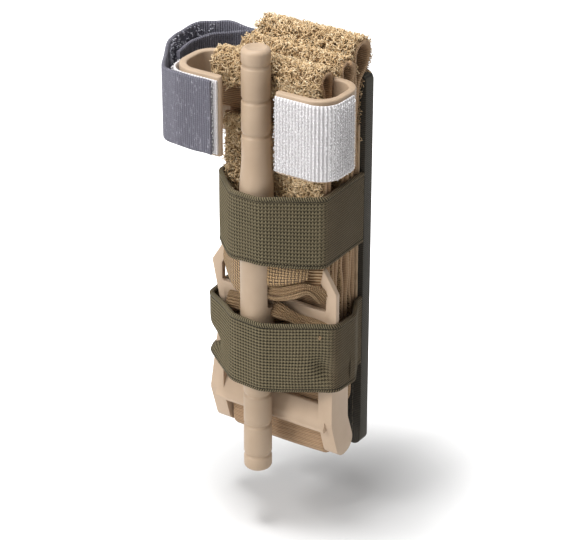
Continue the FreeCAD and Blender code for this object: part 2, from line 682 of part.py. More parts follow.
def build_snap():
    """Stud and eyelet on the panel, socket and cap on the strap."""
    stud = size("snap_stud_dia") / 2
    cap = size("snap_dia") / 2
    gap = size("snap_height")
    thick = size("belt_strap_thick")
    neck = stud - 0.1
    turned_snap("snap_stud", [(0, -PANEL_THICK + 0.4), (neck - 0.9, -PANEL_THICK + 0.4), (neck - 0.9, 0),
                              (cap - 1.0, 0), (cap - 1.0, 0.7), (stud - 0.4, 0.7), (stud, 1.6),
                              (stud, 2.2), (stud - 0.5, 2.7), (0, 2.7)], 0)
    turned_snap("snap_eyelet", [(0, -0.5), (cap - 1.4, -0.5), (cap - 1.4, 0), (0, 0)], PANEL_FACE)
    turned_snap("snap_socket", [(stud + CLEAR, 1.0), (cap - 1.2, 1.0), (cap - 1.2, gap),
                                (stud + CLEAR, gap)], 0)
    top = gap + thick
    turned_snap("snap_cap", [(0, gap - 0.1), (neck, gap - 0.1), (neck, top), (cap, top), (cap, top + 0.6),
                             (cap - 1.6, top + 1.3), (0, top + 1.5)], 0)


# ------------------------------------------------------------------------ build
build_panel()
build_binding()
build_elastic_bands()
build_rod()
build_clip()
build_clip_covers()
build_outer_band()
build_base_plate()
build_buckle()
build_ribbon_loop()
build_belt_strap()
build_snap()
doc.recompute()

# ------------------------------------------------------------------------ write
for item in doc.Objects:
    if "Invalid" in item.State or "Error" in item.State:
        raise RuntimeError("%s is %s" % (item.Label, item.State))

subparts = [item for item in doc.Objects if item.TypeId == "PartDesign::Body"]
for item in subparts:
    if item.Shape.isNull() or not item.Shape.isValid():
        raise RuntimeError("%s has no valid shape" % item.Label)

os.makedirs("parts", exist_ok=True)
for item in subparts:
    item.Shape.exportStep("parts/%s.step" % item.Label)
    box = item.Shape.BoundBox
    print("%-24s %d solid  %9.1f mm3  x %.1f..%.1f  y %.1f..%.1f  z %.1f..%.1f" % (
        item.Label, len(item.Shape.Solids), item.Shape.Volume,
        box.XMin, box.XMax, box.YMin, box.YMax, box.ZMin, box.ZMax))
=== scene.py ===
"""Finished looks of a folded windlass tourniquet in its elastic belt holder.

Metres, +Z up, +X to the right seen from the front, +Y to the rear. Every piece
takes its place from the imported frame, whose bodies carry it when a joint moves.
"""

import logging
import math
from collections.abc import Callable, Sequence
from dataclasses import dataclass
from enum import Enum
from typing import ClassVar

import bpy
import numpy as np
from mathutils import Matrix, Vector


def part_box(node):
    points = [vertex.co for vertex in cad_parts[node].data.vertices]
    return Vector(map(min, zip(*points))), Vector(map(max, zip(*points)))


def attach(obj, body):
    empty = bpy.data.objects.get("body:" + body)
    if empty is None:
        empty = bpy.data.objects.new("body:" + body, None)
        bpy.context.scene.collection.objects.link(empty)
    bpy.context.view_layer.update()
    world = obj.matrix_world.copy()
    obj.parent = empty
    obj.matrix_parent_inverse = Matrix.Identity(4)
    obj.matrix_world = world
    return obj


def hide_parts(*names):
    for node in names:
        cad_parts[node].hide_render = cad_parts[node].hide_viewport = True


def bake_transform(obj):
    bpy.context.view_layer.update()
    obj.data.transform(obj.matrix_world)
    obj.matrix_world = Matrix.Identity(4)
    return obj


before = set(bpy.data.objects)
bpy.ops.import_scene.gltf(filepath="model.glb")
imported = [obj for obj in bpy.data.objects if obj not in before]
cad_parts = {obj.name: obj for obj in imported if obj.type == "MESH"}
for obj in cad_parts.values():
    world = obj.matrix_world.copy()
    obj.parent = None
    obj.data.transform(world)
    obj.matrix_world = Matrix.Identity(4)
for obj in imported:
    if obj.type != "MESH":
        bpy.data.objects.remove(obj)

LOG = logging.getLogger("tourniquet")
MM = 0.001
Point = tuple[float, float]
Rgb = tuple[float, float, float]
Spot = tuple[float, float, float]
Array = np.ndarray


# ------------------------------------------------------------------- shader maths
class Wire:
    """A node's output that Python's operators can work on."""

    def __init__(self, graph: "Graph", socket: bpy.types.NodeSocket) -> None:
        """Keeps the socket and the graph it belongs to."""
        self.graph = graph
        self.socket = socket

    def math(self, operation: str, *others: "Wire | float") -> "Wire":
        """Joins this value to others through one Math node."""
        values = dict(enumerate((self, *others)))
        return self.graph.node("ShaderNodeMath", {"operation": operation}, values)

    def flipped(self, operation: str, other: "Wire | float") -> "Wire":
        """Joins another value to this one, with this one second."""
        return self.graph.node("ShaderNodeMath", {"operation": operation}, {0: other, 1: self})

    def __add__(self, other: "Wire | float") -> "Wire":
        """This value plus another."""
        return self.math("ADD", other)

    def __radd__(self, other: "Wire | float") -> "Wire":
        """Another value plus this one."""
        return self.flipped("ADD", other)

    def __sub__(self, other: "Wire | float") -> "Wire":
        """This value less another."""
        return self.math("SUBTRACT", other)

    def __rsub__(self, other: "Wire | float") -> "Wire":
        """Another value less this one."""
        return self.flipped("SUBTRACT", other)

    def __mul__(self, other: "Wire | float") -> "Wire":
        """This value times another."""
        return self.math("MULTIPLY", other)

    def __rmul__(self, other: "Wire | float") -> "Wire":
        """Another value times this one."""
        return self.flipped("MULTIPLY", other)

    def __truediv__(self, other: "Wire | float") -> "Wire":
        """This value divided by another."""
        return self.math("DIVIDE", other)

    def __rtruediv__(self, other: "Wire | float") -> "Wire":
        """Another value divided by this one."""
        return self.flipped("DIVIDE", other)

    def __abs__(self) -> "Wire":
        """This value without its sign."""
        return self.math("ABSOLUTE")

    def wave(self, pitch: float) -> "Wire":
        """A wave from -1 to 1 that repeats each pitch of this value."""
        return (self * (2 * math.pi / pitch)).math("SINE")

    def cell(self, pitch: float) -> "Wire":
        """Place inside a cell of this pitch, from -0.5 to 0.5."""
        return (self / pitch).math("FRACT") - 0.5

    def ease(self, low: float, high: float) -> "Wire":
        """A smooth step from 0 at low to 1 at high."""
        return self.graph.node("ShaderNodeMapRange", {"interpolation_type": "SMOOTHSTEP"},
                               {"Value": self, "From Min": low, "From Max": high})


class Graph:
    """A node tree that is built up node by node."""

    def __init__(self, tree: bpy.types.NodeTree) -> None:
        """Empties the tree and keeps it."""
        self.tree = tree
        self.tree.nodes.clear()

    def end(self, kind: str, shader: "Wire") -> bpy.types.Node:
        """Adds the tree's output node.

        Args:
            kind: Blender's type name of the node.
            shader: what it shows.

        Returns:
            The output node.
        """
        output = self.tree.nodes.new(kind)
        self.feed(output.inputs["Surface"], shader)
        return output

    def node(self, kind: str, settings: dict | None = None, values: dict | None = None,
             output: int | str = 0) -> Wire:
        """Adds one node.

        Args:
            kind: Blender's type name of the node.
            settings: attributes of the node, or "stops" of a colour ramp.
            values: what each input holds: a number, a colour or a wire.
            output: which output the wire comes from.

        Returns:
            The chosen output.
        """
        made = self.tree.nodes.new(kind)
        for name, value in (settings or {}).items():
            if name == "stops":
                self.set_stops(made.color_ramp, value)
            else:
                setattr(made, name, value)
        for key, value in (values or {}).items():
            self.feed(made.inputs[key], value)
        return Wire(self, made.outputs[output])

    def feed(self, target: bpy.types.NodeSocket, value: object) -> None:
        """Links a wire to an input, or sets the input to a constant.

        Args:
            target: the input.
            value: a wire, a number or a colour.
        """
        if isinstance(value, Wire):
            self.tree.links.new(value.socket, target)
        elif isinstance(value, tuple) and len(value) == 3 and target.type == "RGBA":
            target.default_value = (*value, 1.0)
        else:
            target.default_value = value

    @staticmethod
    def set_stops(ramp: bpy.types.ColorRamp, stops: Sequence[tuple[float, Rgb]]) -> None:
        """Gives a colour ramp its stops.

        Args:
            ramp: the ramp.
            stops: each stop's place and colour.
        """
        while len(ramp.elements) > 1:
            ramp.elements.remove(ramp.elements[-1])
        for index, (place, colour) in enumerate(stops):
            stop = ramp.elements[0] if index == 0 else ramp.elements.new(place)
            stop.position = place
            stop.color = (*colour, 1.0)

    def weave(self) -> tuple[Wire, Wire]:
        """Distance along and across a strip, in metres, from its UV map.

        Returns:
            The two distances.
        """
        place = self.node("ShaderNodeUVMap", {"uv_map": "UVMap"})
        along = self.node("ShaderNodeSeparateXYZ", None, {0: place}, "X")
        across = self.node("ShaderNodeSeparateXYZ", None, {0: place}, "Y")
        return along, across

    def place(self) -> Wire:
        """Object coordinates, in metres."""
        return self.node("ShaderNodeTexCoord", None, None, "Object")

    def axes(self) -> tuple[Wire, Wire, Wire]:
        """Object coordinates as three values, in metres."""
        where = self.place()
        return tuple(self.node("ShaderNodeSeparateXYZ", None, {0: where}, axis) for axis in "XYZ")

    def mark(self, name: str) -> Wire:
        """A value that a mesh holds at each point."""
        return self.node("ShaderNodeAttribute", {"attribute_name": name}, None, "Fac")

    def noise(self, size: float, detail: float = 2.0, stretch: Spot = (1.0, 1.0, 1.0)) -> Wire:
        """Soft noise from 0 to 1 whose lumps are about one size, in metres.

        Args:
            size: the size of its lumps.
            detail: how many finer layers it has.
            stretch: how much closer the lumps lie along each axis.

        Returns:
            The noise.
        """
        scaled = self.node("ShaderNodeMapping", None, {"Vector": self.place(), "Scale": stretch})
        return self.node("ShaderNodeTexNoise", {"noise_dimensions": "3D"},
                         {"Vector": scaled, "Scale": 1.0 / size, "Detail": detail, "Roughness": 0.55})

    def blend(self, share: Wire | float, first: "Wire | Rgb", second: "Wire | Rgb") -> Wire:
        """Mixes two colours.

        Args:
            share: how much of the second there is.
            first: a colour or a wire.
            second: a colour or a wire.

        Returns:
            The mixed colour.
        """
        return self.node("ShaderNodeMix", {"data_type": "RGBA"},
                         {0: share, 6: self.colour(first), 7: self.colour(second)}, 2)

    @staticmethod
    def colour(value: "Wire | Rgb") -> object:
        """A colour as a Mix node takes it."""
        return value if isinstance(value, Wire) else (*value, 1.0)

    def ramp(self, value: Wire, *stops: tuple[float, Rgb]) -> Wire:
        """Turns a value into a colour."""
        return self.node("ShaderNodeValToRGB", {"stops": stops}, {"Fac": value})


class Coat(Graph):
    """The node tree of one finish: its surface shader and what feeds it."""

    def __init__(self, name: str) -> None:
        """Makes the material, its surface shader and its output.

        Args:
            name: the material's name.
        """
        self.material = bpy.data.materials.new(name)
        self.material.use_nodes = True
        super().__init__(self.material.node_tree)
        self.surface = self.tree.nodes.new("ShaderNodeBsdfPrincipled")
        self.shader = Wire(self, self.surface.outputs["BSDF"])
        self.output = self.end("ShaderNodeOutputMaterial", self.shader)

    def set(self, **values: object) -> None:
        """Sets the surface shader: base_color= stands for "Base Color".

        Args:
            values: each input's value or wire.
        """
        names = {"ior_level": "Specular IOR Level"}
        for key, value in values.items():
            self.feed(self.surface.inputs[names.get(key, key.replace("_", " ").title())], value)

    def bump(self, height: Wire, depth: float) -> None:
        """Raises the surface by height times depth, in metres.

        Args:
            height: the relief, from 0 to 1.
            depth: its full height.
        """
        self.set(normal=self.node("ShaderNodeBump", None,
                                  {"Strength": 1.0, "Distance": depth, "Height": height}))


# ---------------------------------------------------------------------- finishes
class Finish:
    """A named finish that is painted once and then shared."""

    made: ClassVar[dict[str, bpy.types.Material]] = {}
    label: str

    def paint(self, graph: Coat) -> None:
        """Builds the finish's nodes.

        Args:
            graph: the finish's node tree.
        """
        raise NotImplementedError

    def material(self) -> bpy.types.Material:
        """The finish's material, made when it is first asked for.

        Returns:
            The material.
        """
        if self.label not in Finish.made:
            graph = Coat(self.label)
            self.paint(graph)
            Finish.made[self.label] = graph.material
        return Finish.made[self.label]

    def dress(self, *pieces: bpy.types.Object) -> None:
        """Gives pieces this finish and nothing else.

        Args:
            pieces: the pieces to dress.
        """
        for piece in pieces:
            if piece.data.materials:
                for index in range(len(piece.data.materials)):
                    piece.data.materials[index] = self.material()
            else:
                piece.data.materials.append(self.material())


@dataclass(frozen=True)
class MouldedPlastic(Finish):
    """Matt injection-moulded plastic with a fine spark-eroded texture."""

    label: str = "tan_moulded_plastic"
    pale: Rgb = (0.47, 0.35, 0.245)
    deep: Rgb = (0.40, 0.29, 0.195)
    grain: float = 0.00035
    roughness: float = 0.5

    def paint(self, graph: Coat) -> None:
        """Builds the nodes: cloudy colour, soft flow marks and a fine grain.

        Args:
            graph: the finish's node tree.
        """
        cloud = graph.noise(0.018, 3.0)
        grain = graph.noise(self.grain, 2.0)
        flow = graph.noise(0.006, 2.0, stretch=(1.0, 1.0, 0.25))
        tone = cloud * 0.7 + flow * 0.3
        graph.set(base_color=graph.blend(tone.ease(0.3, 0.7), self.deep, self.pale),
                  roughness=self.roughness - 0.06 + grain * 0.12, ior_level=0.42)
        graph.bump(grain * 0.5 + flow * 0.5, 0.00005)


@dataclass(frozen=True)
class KnitElastic(Finish):
    """Knitted elastic: ribs along the width, each a chain of small stitches."""

    label: str = "olive_knit_elastic"
    yarn: Rgb = (0.2, 0.165, 0.098)
    # Painted shade: the near-black colour given to the knit's low places.
    shade: Rgb = (0.014, 0.011, 0.006)
    slack: Rgb = (0.19, 0.142, 0.085)
    rib: float = 1.05 * MM
    stitch: float = 1.25 * MM
    chevron: float = 1.3
    half_width: float = 12.5 * MM

    def paint(self, graph: Coat) -> None:
        """Builds the nodes: stitches in the ribs, ticks along the edges, fuzz, and painted shade in the low
        places.

        Args:
            graph: the finish's node tree.
        """
        along, across = graph.weave()
        pull = graph.mark("pull")
        column = along.cell(self.rib)
        slope = abs(column) * self.chevron
        chain = ((across / self.stitch + slope) * (2 * math.pi)).math("SINE")
        ridge = (column * (2 * math.pi)).math("COSINE")
        knit = (ridge * 0.36 + chain * 0.64) * 0.5 + 0.5
        twill = ((along * 0.8 + across) / (0.62 * MM) * (2 * math.pi)).math("SINE") * 0.5 + 0.5
        body = knit * pull + twill * (1 - pull) * 0.9
        ticks = ((along / (0.75 * MM) + abs(across) / (1.6 * MM)) * (2 * math.pi)).math("SINE") * 0.5 + 0.5
        edge = abs(across).ease(self.half_width - 1.35 * MM, self.half_width - 0.95 * MM)
        gutter = (abs(abs(across) - (self.half_width - 1.35 * MM)) / (0.28 * MM)).ease(0.0, 1.0)
        height = (body * (1 - edge) + ticks * edge * 0.9) * gutter
        fuzz = graph.noise(0.00045, 3.0)
        cloud = graph.noise(0.009, 2.0)
        # Painted shade: the lower the relief, the nearer the colour comes to the near-black shade.
        light = (height + fuzz * 0.4 - 0.28).ease(0.0, 0.72)
        bright = graph.blend(pull.ease(0.15, 0.75), self.slack, self.yarn)
        tint = graph.blend(light, self.shade, bright)
        graph.set(base_color=graph.blend(cloud.ease(0.3, 0.75) * 0.12, tint, self.slack),
                  roughness=0.88, ior_level=0.2, sheen_weight=0.12, sheen_roughness=0.5,
                  sheen_tint=(0.55, 0.5, 0.36, 1.0))
        graph.bump(height * 0.8 + fuzz * 0.3, 0.0003)


@dataclass(frozen=True)
class FlatWeave(Finish):
    """Ribbed narrow weave: cords across the width, bound by fine warp threads."""

    label: str = "tan_flat_weave"
    crest: Rgb = (0.5, 0.33, 0.195)
    groove: Rgb = (0.27, 0.165, 0.09)
    rib: float = 0.62 * MM
    warp: float = 0.42 * MM
    half_width: float = 19.0 * MM

    def paint(self, graph: Coat) -> None:
        """Builds the nodes: ribs over the length, fine warp lines, and a painted highlight along both
        edges.

        Args:
            graph: the finish's node tree.
        """
        along, across = graph.weave()
        drift = graph.noise(0.004, 2.0)
        ribs = ((along + drift * 0.0004) / self.rib * (2 * math.pi)).math("SINE") * 0.5 + 0.5
        warps = across.wave(self.warp) * 0.5 + 0.5
        fuzz = graph.noise(0.0005, 3.0)
        height = ribs * 0.7 + warps * 0.15 + fuzz * 0.25
        # Painted highlight: the band's edges are lightened towards the crest colour, as if they caught the
        # light.
        edge = abs(across).ease(self.half_width - 1.3 * MM, self.half_width - 0.6 * MM)
        tone = graph.blend((height - 0.1).ease(0.05, 0.85), self.groove, self.crest)
        graph.set(base_color=graph.blend(edge * 0.45, tone, self.crest), roughness=0.8, ior_level=0.25,
                  sheen_weight=0.1)
        graph.bump(height, 0.00018)


@dataclass(frozen=True)
class BasketWeave(Finish):
    """Coarse plaited ribbon: shiny yarns over and under, with painted shade between them."""

    label: str = "golden_basket_weave"
    yarn: Rgb = (0.5, 0.325, 0.16)
    gap: Rgb = (0.035, 0.016, 0.006)
    pitch: float = 1.0 * MM

    def paint(self, graph: Coat) -> None:
        """Builds the nodes: two crossing sets of yarns, plain weave.

        Args:
            graph: the finish's node tree.
        """
        along, across = graph.weave()
        first = (along / self.pitch * math.pi).math("SINE")
        second = (across / self.pitch * math.pi).math("SINE")
        over = (first * second).ease(-0.25, 0.25)
        long_yarn = 1 - abs(along.cell(self.pitch)) * 2
        cross_yarn = 1 - abs(across.cell(self.pitch)) * 2
        height = long_yarn * over + cross_yarn * (1 - over)
        fuzz = graph.noise(0.0006, 3.0)
        # Painted shade: where the relief is low, between the yarns, the colour goes to the dark gap colour.
        light = (height + fuzz * 0.3 - 0.3).ease(0.0, 0.6)
        graph.set(base_color=graph.blend(light, self.gap, self.yarn), roughness=0.62, ior_level=0.4)
        graph.bump(height * 0.9 + fuzz * 0.2, 0.0003)


@dataclass(frozen=True)
class LoopYarn(Finish):
    """Loop pile yarn: each loop has its own tone, with painted shade that darkens it towards its root."""

    label: str = "straw_loop_pile"
    straw: Rgb = (0.95, 0.78, 0.53)
    honey: Rgb = (0.72, 0.52, 0.29)
    root: Rgb = (0.34, 0.205, 0.1)

    def paint(self, graph: Coat) -> None:
        """Builds the nodes from the loops' own tone and height marks.

        Args:
            graph: the finish's node tree.
        """
        tone = graph.ramp(graph.mark("tone"), (0.0, self.honey), (0.5, self.honey), (0.95, self.straw))
        # Painted shade: each loop darkens towards the root colour the lower its point lies.
        graph.set(base_color=graph.blend(graph.mark("rise").ease(0.0, 0.7), self.root, tone),
                  roughness=0.45, ior_level=0.45)


@dataclass(frozen=True)
class PileGround(Finish):
    """Ground fabric under the loops."""

    label: str = "brown_pile_ground"
    low: Rgb = (0.19, 0.11, 0.052)
    high: Rgb = (0.5, 0.34, 0.18)

    def paint(self, graph: Coat) -> None:
        """Builds the nodes: tangled blotches at the loops' scale.

        Args:
            graph: the finish's node tree.
        """
        tangle = graph.node("ShaderNodeTexVoronoi", {"feature": "DISTANCE_TO_EDGE"},
                            {"Vector": graph.place(), "Scale": 1300.0})
        fuzz = graph.noise(0.0008, 3.0)
        height = 1 - tangle.ease(0.0, 0.3)
        graph.set(base_color=graph.blend((height * 0.6 + fuzz * 0.5).ease(0.25, 0.9), self.low, self.high),
                  roughness=0.85)
        graph.bump(height + fuzz, 0.0003)


@dataclass(frozen=True)
class HookBase(Finish):
    """Woven base of hook tape, ribbed along its length."""

    label: str = "white_hook_tape"
    crest: Rgb = (0.86, 0.84, 0.845)
    groove: Rgb = (0.6, 0.575, 0.58)
    rib: float = 1.15 * MM
    dot: float = 0.95 * MM

    def paint(self, graph: Coat) -> None:
        """Builds the nodes: ribs, and the small knots where the hooks start.

        Args:
            graph: the finish's node tree.
        """
        along, across = graph.weave()
        ribs = along.wave(self.rib) * 0.5 + 0.5
        knots = across.wave(self.dot) * 0.5 + 0.5
        fuzz = graph.noise(0.0005, 3.0)
        height = ribs * 0.55 + ribs * knots * 0.45
        tone = graph.blend((height + fuzz * 0.3 - 0.1).ease(0.0, 0.8), self.groove, self.crest)
        graph.set(base_color=tone, roughness=0.75, ior_level=0.3)
        graph.bump(height + fuzz * 0.25, 0.00025)


@dataclass(frozen=True)
class HookYarn(Finish):
    """Stiff monofilament of the hooks."""

    label: str = "white_hooks"
    tip: Rgb = (0.93, 0.92, 0.93)
    root: Rgb = (0.66, 0.64, 0.66)

    def paint(self, graph: Coat) -> None:
        """Builds the nodes from the hooks' height mark: painted shade darkens each hook towards its root.

        Args:
            graph: the finish's node tree.
        """
        # Painted shade: the lower a point of a hook, the nearer its colour to the dark root colour.
        tone = graph.blend(graph.mark("rise").ease(0.0, 0.7), self.root, self.tip)
        graph.set(base_color=tone, roughness=0.3, ior_level=0.5)


@dataclass(frozen=True)
class BrushedKnit(Finish):
    """Brushed knit of the time strap: fine ribs under a short fuzz."""

    label: str = "lavender_grey_knit"
    crest: Rgb = (0.19, 0.185, 0.222)
    groove: Rgb = (0.078, 0.076, 0.095)
    fleck: Rgb = (0.5, 0.49, 0.54)
    rib: float = 0.82 * MM

    def paint(self, graph: Coat) -> None:
        """Builds the nodes: fine ribs, broken up by fuzz and pale flecks.

        Args:
            graph: the finish's node tree.
        """
        along, across = graph.weave()
        drift = graph.noise(0.003, 2.0)
        ribs = ((along + drift * 0.0003) / self.rib * (2 * math.pi)).math("SINE") * 0.5 + 0.5
        fuzz = graph.noise(0.00035, 4.0)
        lint = graph.noise(0.0007, 4.0, stretch=(1.0, 1.0, 0.45))
        stitches = across.wave(0.7 * MM) * 0.5 + 0.5
        height = ribs * 0.5 + stitches * 0.12 + fuzz * 0.55
        tone = graph.blend((height - 0.2).ease(0.0, 0.8), self.groove, self.crest)
        graph.set(base_color=graph.blend(lint.ease(0.56, 0.76) * 0.6, tone, self.fleck), roughness=0.9,
                  ior_level=0.2, sheen_weight=0.25, sheen_roughness=0.4, sheen_tint=(0.75, 0.75, 0.82, 1.0))
        graph.bump(height, 0.00022)


@dataclass(frozen=True)
class PanelCanvas(Finish):
    """Dark plain-woven nylon of the holder panel."""

    label: str = "dark_olive_canvas"
    thread: Rgb = (0.05, 0.043, 0.031)
    gap: Rgb = (0.012, 0.010, 0.007)
    pitch: float = 0.62 * MM

    def paint(self, graph: Coat) -> None:
        """Builds the nodes: a plain weave in the panel's own plane.

        Args:
            graph: the finish's node tree.
        """
        x, _, z = graph.axes()
        over = (x.wave(2 * self.pitch) * z.wave(2 * self.pitch)).ease(-0.3, 0.3)
        first = 1 - abs(x.cell(self.pitch)) * 2
        second = 1 - abs(z.cell(self.pitch)) * 2
        height = first * over + second * (1 - over)
        fuzz = graph.noise(0.0007, 3.0)
        graph.set(base_color=graph.blend((height + fuzz * 0.4 - 0.2).ease(0.0, 0.9), self.gap, self.thread),
                  roughness=0.78, ior_level=0.35, sheen_weight=0.08)
        graph.bump(height, 0.00012)


@dataclass(frozen=True)
class BindingTape(Finish):
    """Folded binding tape: fine cross ribs and a soft edge."""

    label: str = "dark_olive_binding"
    crest: Rgb = (0.055, 0.048, 0.034)
    groove: Rgb = (0.016, 0.013, 0.009)
    rib: float = 0.7 * MM

    def paint(self, graph: Coat) -> None:
        """Builds the nodes: ribs that run round the panel's edge.

        Args:
            graph: the finish's node tree.
        """
        x, y, z = graph.axes()
        side = abs(z).ease(0.0605, 0.0635)
        ribs = (z.wave(self.rib) * (1 - side) + x.wave(self.rib) * side) * 0.5 + 0.5
        fine = ((abs(x) + y) / (0.5 * MM) * (2 * math.pi)).math("SINE") * 0.5 + 0.5
        fuzz = graph.noise(0.0006, 3.0)
        height = ribs * 0.6 + fine * 0.15 + fuzz * 0.3
        graph.set(base_color=graph.blend(height.ease(0.1, 0.95), self.groove, self.crest), roughness=0.8,
                  ior_level=0.3, sheen_weight=0.12)
        graph.bump(height, 0.00013)


@dataclass(frozen=True)
class Thread(Finish):
    """Sewing thread."""

    label: str = "olive_thread"
    tone: Rgb = (0.07, 0.06, 0.042)
    pale: Rgb = (0.15, 0.13, 0.09)

    def paint(self, graph: Coat) -> None:
        """Builds the nodes: a twist and a slight sheen.

        Args:
            graph: the finish's node tree.
        """
        twist = graph.noise(0.0004, 2.0)
        graph.set(base_color=graph.blend(twist.ease(0.3, 0.7), self.tone, self.pale), roughness=0.55)


@dataclass(frozen=True)
class BeltWebbing(Finish):
    """Heavy olive webbing: a chevron of thick yarns."""

    label: str = "olive_belt_webbing"
    yarn: Rgb = (0.115, 0.1, 0.07)
    gap: Rgb = (0.026, 0.021, 0.014)
    pitch: float = 1.5 * MM

    def paint(self, graph: Coat) -> None:
        """Builds the nodes: chevrons across the width, with fine threads.

        Args:
            graph: the finish's node tree.
        """
        x, y, z = graph.axes()
        fold = abs(x.cell(4.2 * MM)) * 2.1 * MM
        rows = ((z + y + fold * 2) / self.pitch * (2 * math.pi)).math("SINE") * 0.5 + 0.5
        warps = x.wave(0.7 * MM) * 0.5 + 0.5
        fuzz = graph.noise(0.0006, 3.0)
        height = rows * 0.55 + warps * 0.25 + fuzz * 0.3
        graph.set(base_color=graph.blend(height.ease(0.15, 0.95), self.gap, self.yarn), roughness=0.75,
                  ior_level=0.3)
        graph.bump(height, 0.0002)


@dataclass(frozen=True)
class SnapEnamel(Finish):
    """Baked enamel over a pressed brass snap, worn in small spots."""

    label: str = "black_snap_enamel"
    enamel: Rgb = (0.022, 0.02, 0.018)
    wear: Rgb = (0.09, 0.075, 0.055)

    def paint(self, graph: Coat) -> None:
        """Builds the nodes: orange-peel gloss and small worn spots.

        Args:
            graph: the finish's node tree.
        """
        peel = graph.noise(0.0009, 2.0)
        spots = graph.noise(0.0022, 4.0).ease(0.62, 0.75)
        graph.set(base_color=graph.blend(spots * 0.6, self.enamel, self.wear), metallic=0.35 + spots * 0.4,
                  roughness=0.3 + peel * 0.15)
        graph.bump(peel, 0.00004)


@dataclass(frozen=True)
class StiffSheet(Finish):
    """Polyethylene stiffener inside the panel."""

    label: str = "black_stiffener"
    tone: Rgb = (0.03, 0.03, 0.03)

    def paint(self, graph: Coat) -> None:
        """Builds the nodes: faint extrusion marks.

        Args:
            graph: the finish's node tree.
        """
        marks = graph.noise(0.003, 2.0, stretch=(1.0, 1.0, 0.1))
        graph.set(base_color=graph.blend(marks, self.tone, (0.05, 0.05, 0.05)), roughness=0.45)
        graph.bump(marks, 0.00005)


# ------------------------------------------------------------------- bench work
def hill(value: Array, place: float | Array, reach: float) -> Array:
    """A value's nearness to a place: 1 there, about 0 twice the reach away."""
    return np.exp(-((value - place) / reach) ** 2)


def step_up(value: Array, place: float, reach: float) -> Array:
    """A soft step: 0 well below a place and 1 well above it."""
    return 1 / (1 + np.exp((place - value) / reach))


